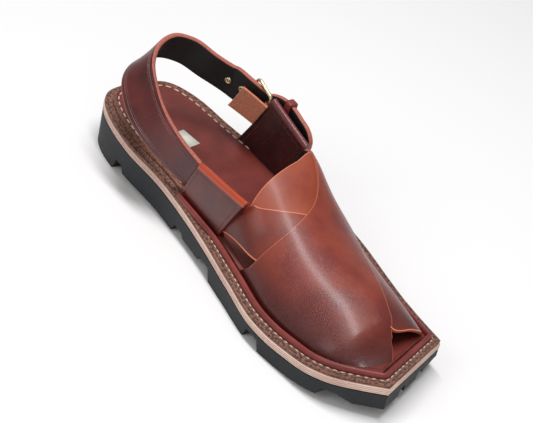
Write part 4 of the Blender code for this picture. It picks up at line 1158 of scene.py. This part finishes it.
def stitchRow(name, path, material):
    # each stitch is a small drawn-out bead lying in the leather
    row = stitches[name]
    length, radius = row["length"], row["radius"]
    walk = resample(path, (length + row["gap"]) / 2.0)
    spots = place(walk[:, 0], walk[:, 1], weltTop(walk[:, 0]) + row["lift"])
    bm = bmesh.new()
    for before, after in zip(spots[:-2:2], spots[2::2]):
        forward = Vector(after - before).normalized()
        across = forward.cross(upWay).normalized()
        turn = Matrix((forward, across, across.cross(forward))).transposed().to_4x4()
        size = Matrix.Diagonal((length / 2.0 * random.uniform(0.93, 1.07), radius, radius * 0.8, 1.0))
        centre = Matrix.Translation(Vector((before + after) / 2.0))
        bmesh.ops.create_uvsphere(bm, u_segments=8, v_segments=6, radius=1.0, matrix=centre @ turn @ size)
    finishPiece(name, bm, [material], None)


darkOutline, creamOutline, heelOutline = [outline(row["inset"]) for row in stitches.values()]
stitchRow("welt_stitches_dark", np.concatenate([darkOutline, darkOutline[:1]]), darkThread)
stitchRow("welt_stitches_cream", outlineFront(creamOutline, 0.36, 0.36), creamThread)
stitchRow("heel_stitches", outlineHeel(heelOutline, 0.36), creamThread)

# Blank paper label on the insole: its place as shares of the shoe, its sizes in metres
label = {"at": 0.219, "side": 0.004, "length": 0.0160, "width": 0.0090, "turn": 10.0, "thickness": 0.00015}


def makeLabel():
    along = label["at"] * shoeLength
    height = seatHeight(along) + sole["insoleThickness"] + label["thickness"]
    step = 0.005
    slope = math.atan2(float(weltTop(along + step) - weltTop(along - step)), 2.0 * step)
    bm = bmesh.new()
    bmesh.ops.create_cube(bm, size=1.0)
    size = Matrix.Diagonal((label["width"], label["length"], label["thickness"], 1.0))
    turn = Matrix.Rotation(-slope, 4, "X") @ Matrix.Rotation(math.radians(label["turn"]), 4, "Z")
    centre = Matrix.Translation(Vector(place(along, label["side"] * ballWidth, height)))
    bmesh.ops.transform(bm, matrix=centre @ turn @ size, verts=bm.verts)
    finishPiece("blank_label", bm, [labelPaper], None)


makeLabel()

print("camera, floor and light")

# The camera stands where the photo's did and turns to the shoe's middle
view = {
    "position": (-0.4832, -0.5165, 0.5066),
    "azimuth": -38.92,
    "elevation": 34.58,
    "roll": 11.71,
    "lens": 97.0,
    "target": (-0.003, -0.004, 0.033),
}
# Three soft area lights: size in metres, power in watts
lights = {
    "strip": {"position": (0.02, 0.05, 1.30), "target": (0.02, 0.05, 0.0), "size": (0.15, 1.10),
              "power": 14.0, "colour": (1.0, 0.985, 1.0)},
    "left": {"position": (-1.3, 0.1, 1.0), "target": (0.0, 0.0, 0.03), "size": (0.5, 0.9), "power": 4.5,
             "colour": (1.0, 0.99, 0.98)},
    "fill": {"position": (-0.7, -1.4, 0.7), "target": (0.0, 0.0, 0.03), "size": (0.9, 0.5), "power": 3.0,
             "colour": (1.0, 0.98, 0.96)},
}
room = {"floorSize": 4.0, "floor": (0.87, 0.87, 0.865, 1.0), "roughness": 0.7, "air": (0.95, 0.95, 0.95, 1.0),
        "airStrength": 0.35}


def makeCamera():
    azimuth = math.radians(view["azimuth"])
    elevation = math.radians(view["elevation"])
    roll = math.radians(view["roll"])
    fittedBack = Vector((math.sin(azimuth) * math.cos(elevation), -math.cos(azimuth) * math.cos(elevation),
                         math.sin(elevation)))
    levelRight = upWay.cross(fittedBack).normalized()
    right = levelRight * math.cos(roll) + fittedBack.cross(levelRight) * math.sin(roll)
    back = (Vector(view["position"]) - Vector(view["target"])).normalized()
    right = fittedBack.rotation_difference(back) @ right
    data = bpy.data.cameras.new("camera")
    data.sensor_width = 36.0
    data.lens = view["lens"]
    data.clip_start = 0.01
    camera = addObject("camera", data)
    pose = Matrix((right, back.cross(right), back)).transposed().to_4x4()
    pose.translation = Vector(view["position"])
    camera.matrix_world = pose
    bpy.context.scene.camera = camera


def makeRoom():
    bm = bmesh.new()
    bmesh.ops.create_grid(bm, x_segments=2, y_segments=2, size=room["floorSize"])
    floor = meshObject("floor", bm)
    material, _, shader, _ = newMaterial("pale_floor", room["roughness"])
    shader["Base Color"].default_value = room["floor"]
    floor.data.materials.append(material)
    world = bpy.data.worlds.new("studio")
    world.use_nodes = True
    background = world.node_tree.nodes["Background"].inputs
    background["Color"].default_value = room["air"]
    background["Strength"].default_value = room["airStrength"]
    bpy.context.scene.world = world
    bpy.context.scene.view_settings.view_transform = "Standard"


def makeLight(name, position, target, size, power, colour):
    data = bpy.data.lights.new(name, "AREA")
    data.shape = "RECTANGLE"
    data.size, data.size_y = size
    data.energy = power
    data.color = colour
    light = addObject(name, data)
    light.location = position
    light.rotation_euler = (Vector(target) - Vector(position)).to_track_quat("-Z", "Y").to_euler()


makeCamera()
makeRoom()
for name, light in lights.items():
    makeLight(name, **light)

bpy.context.view_layer.update()
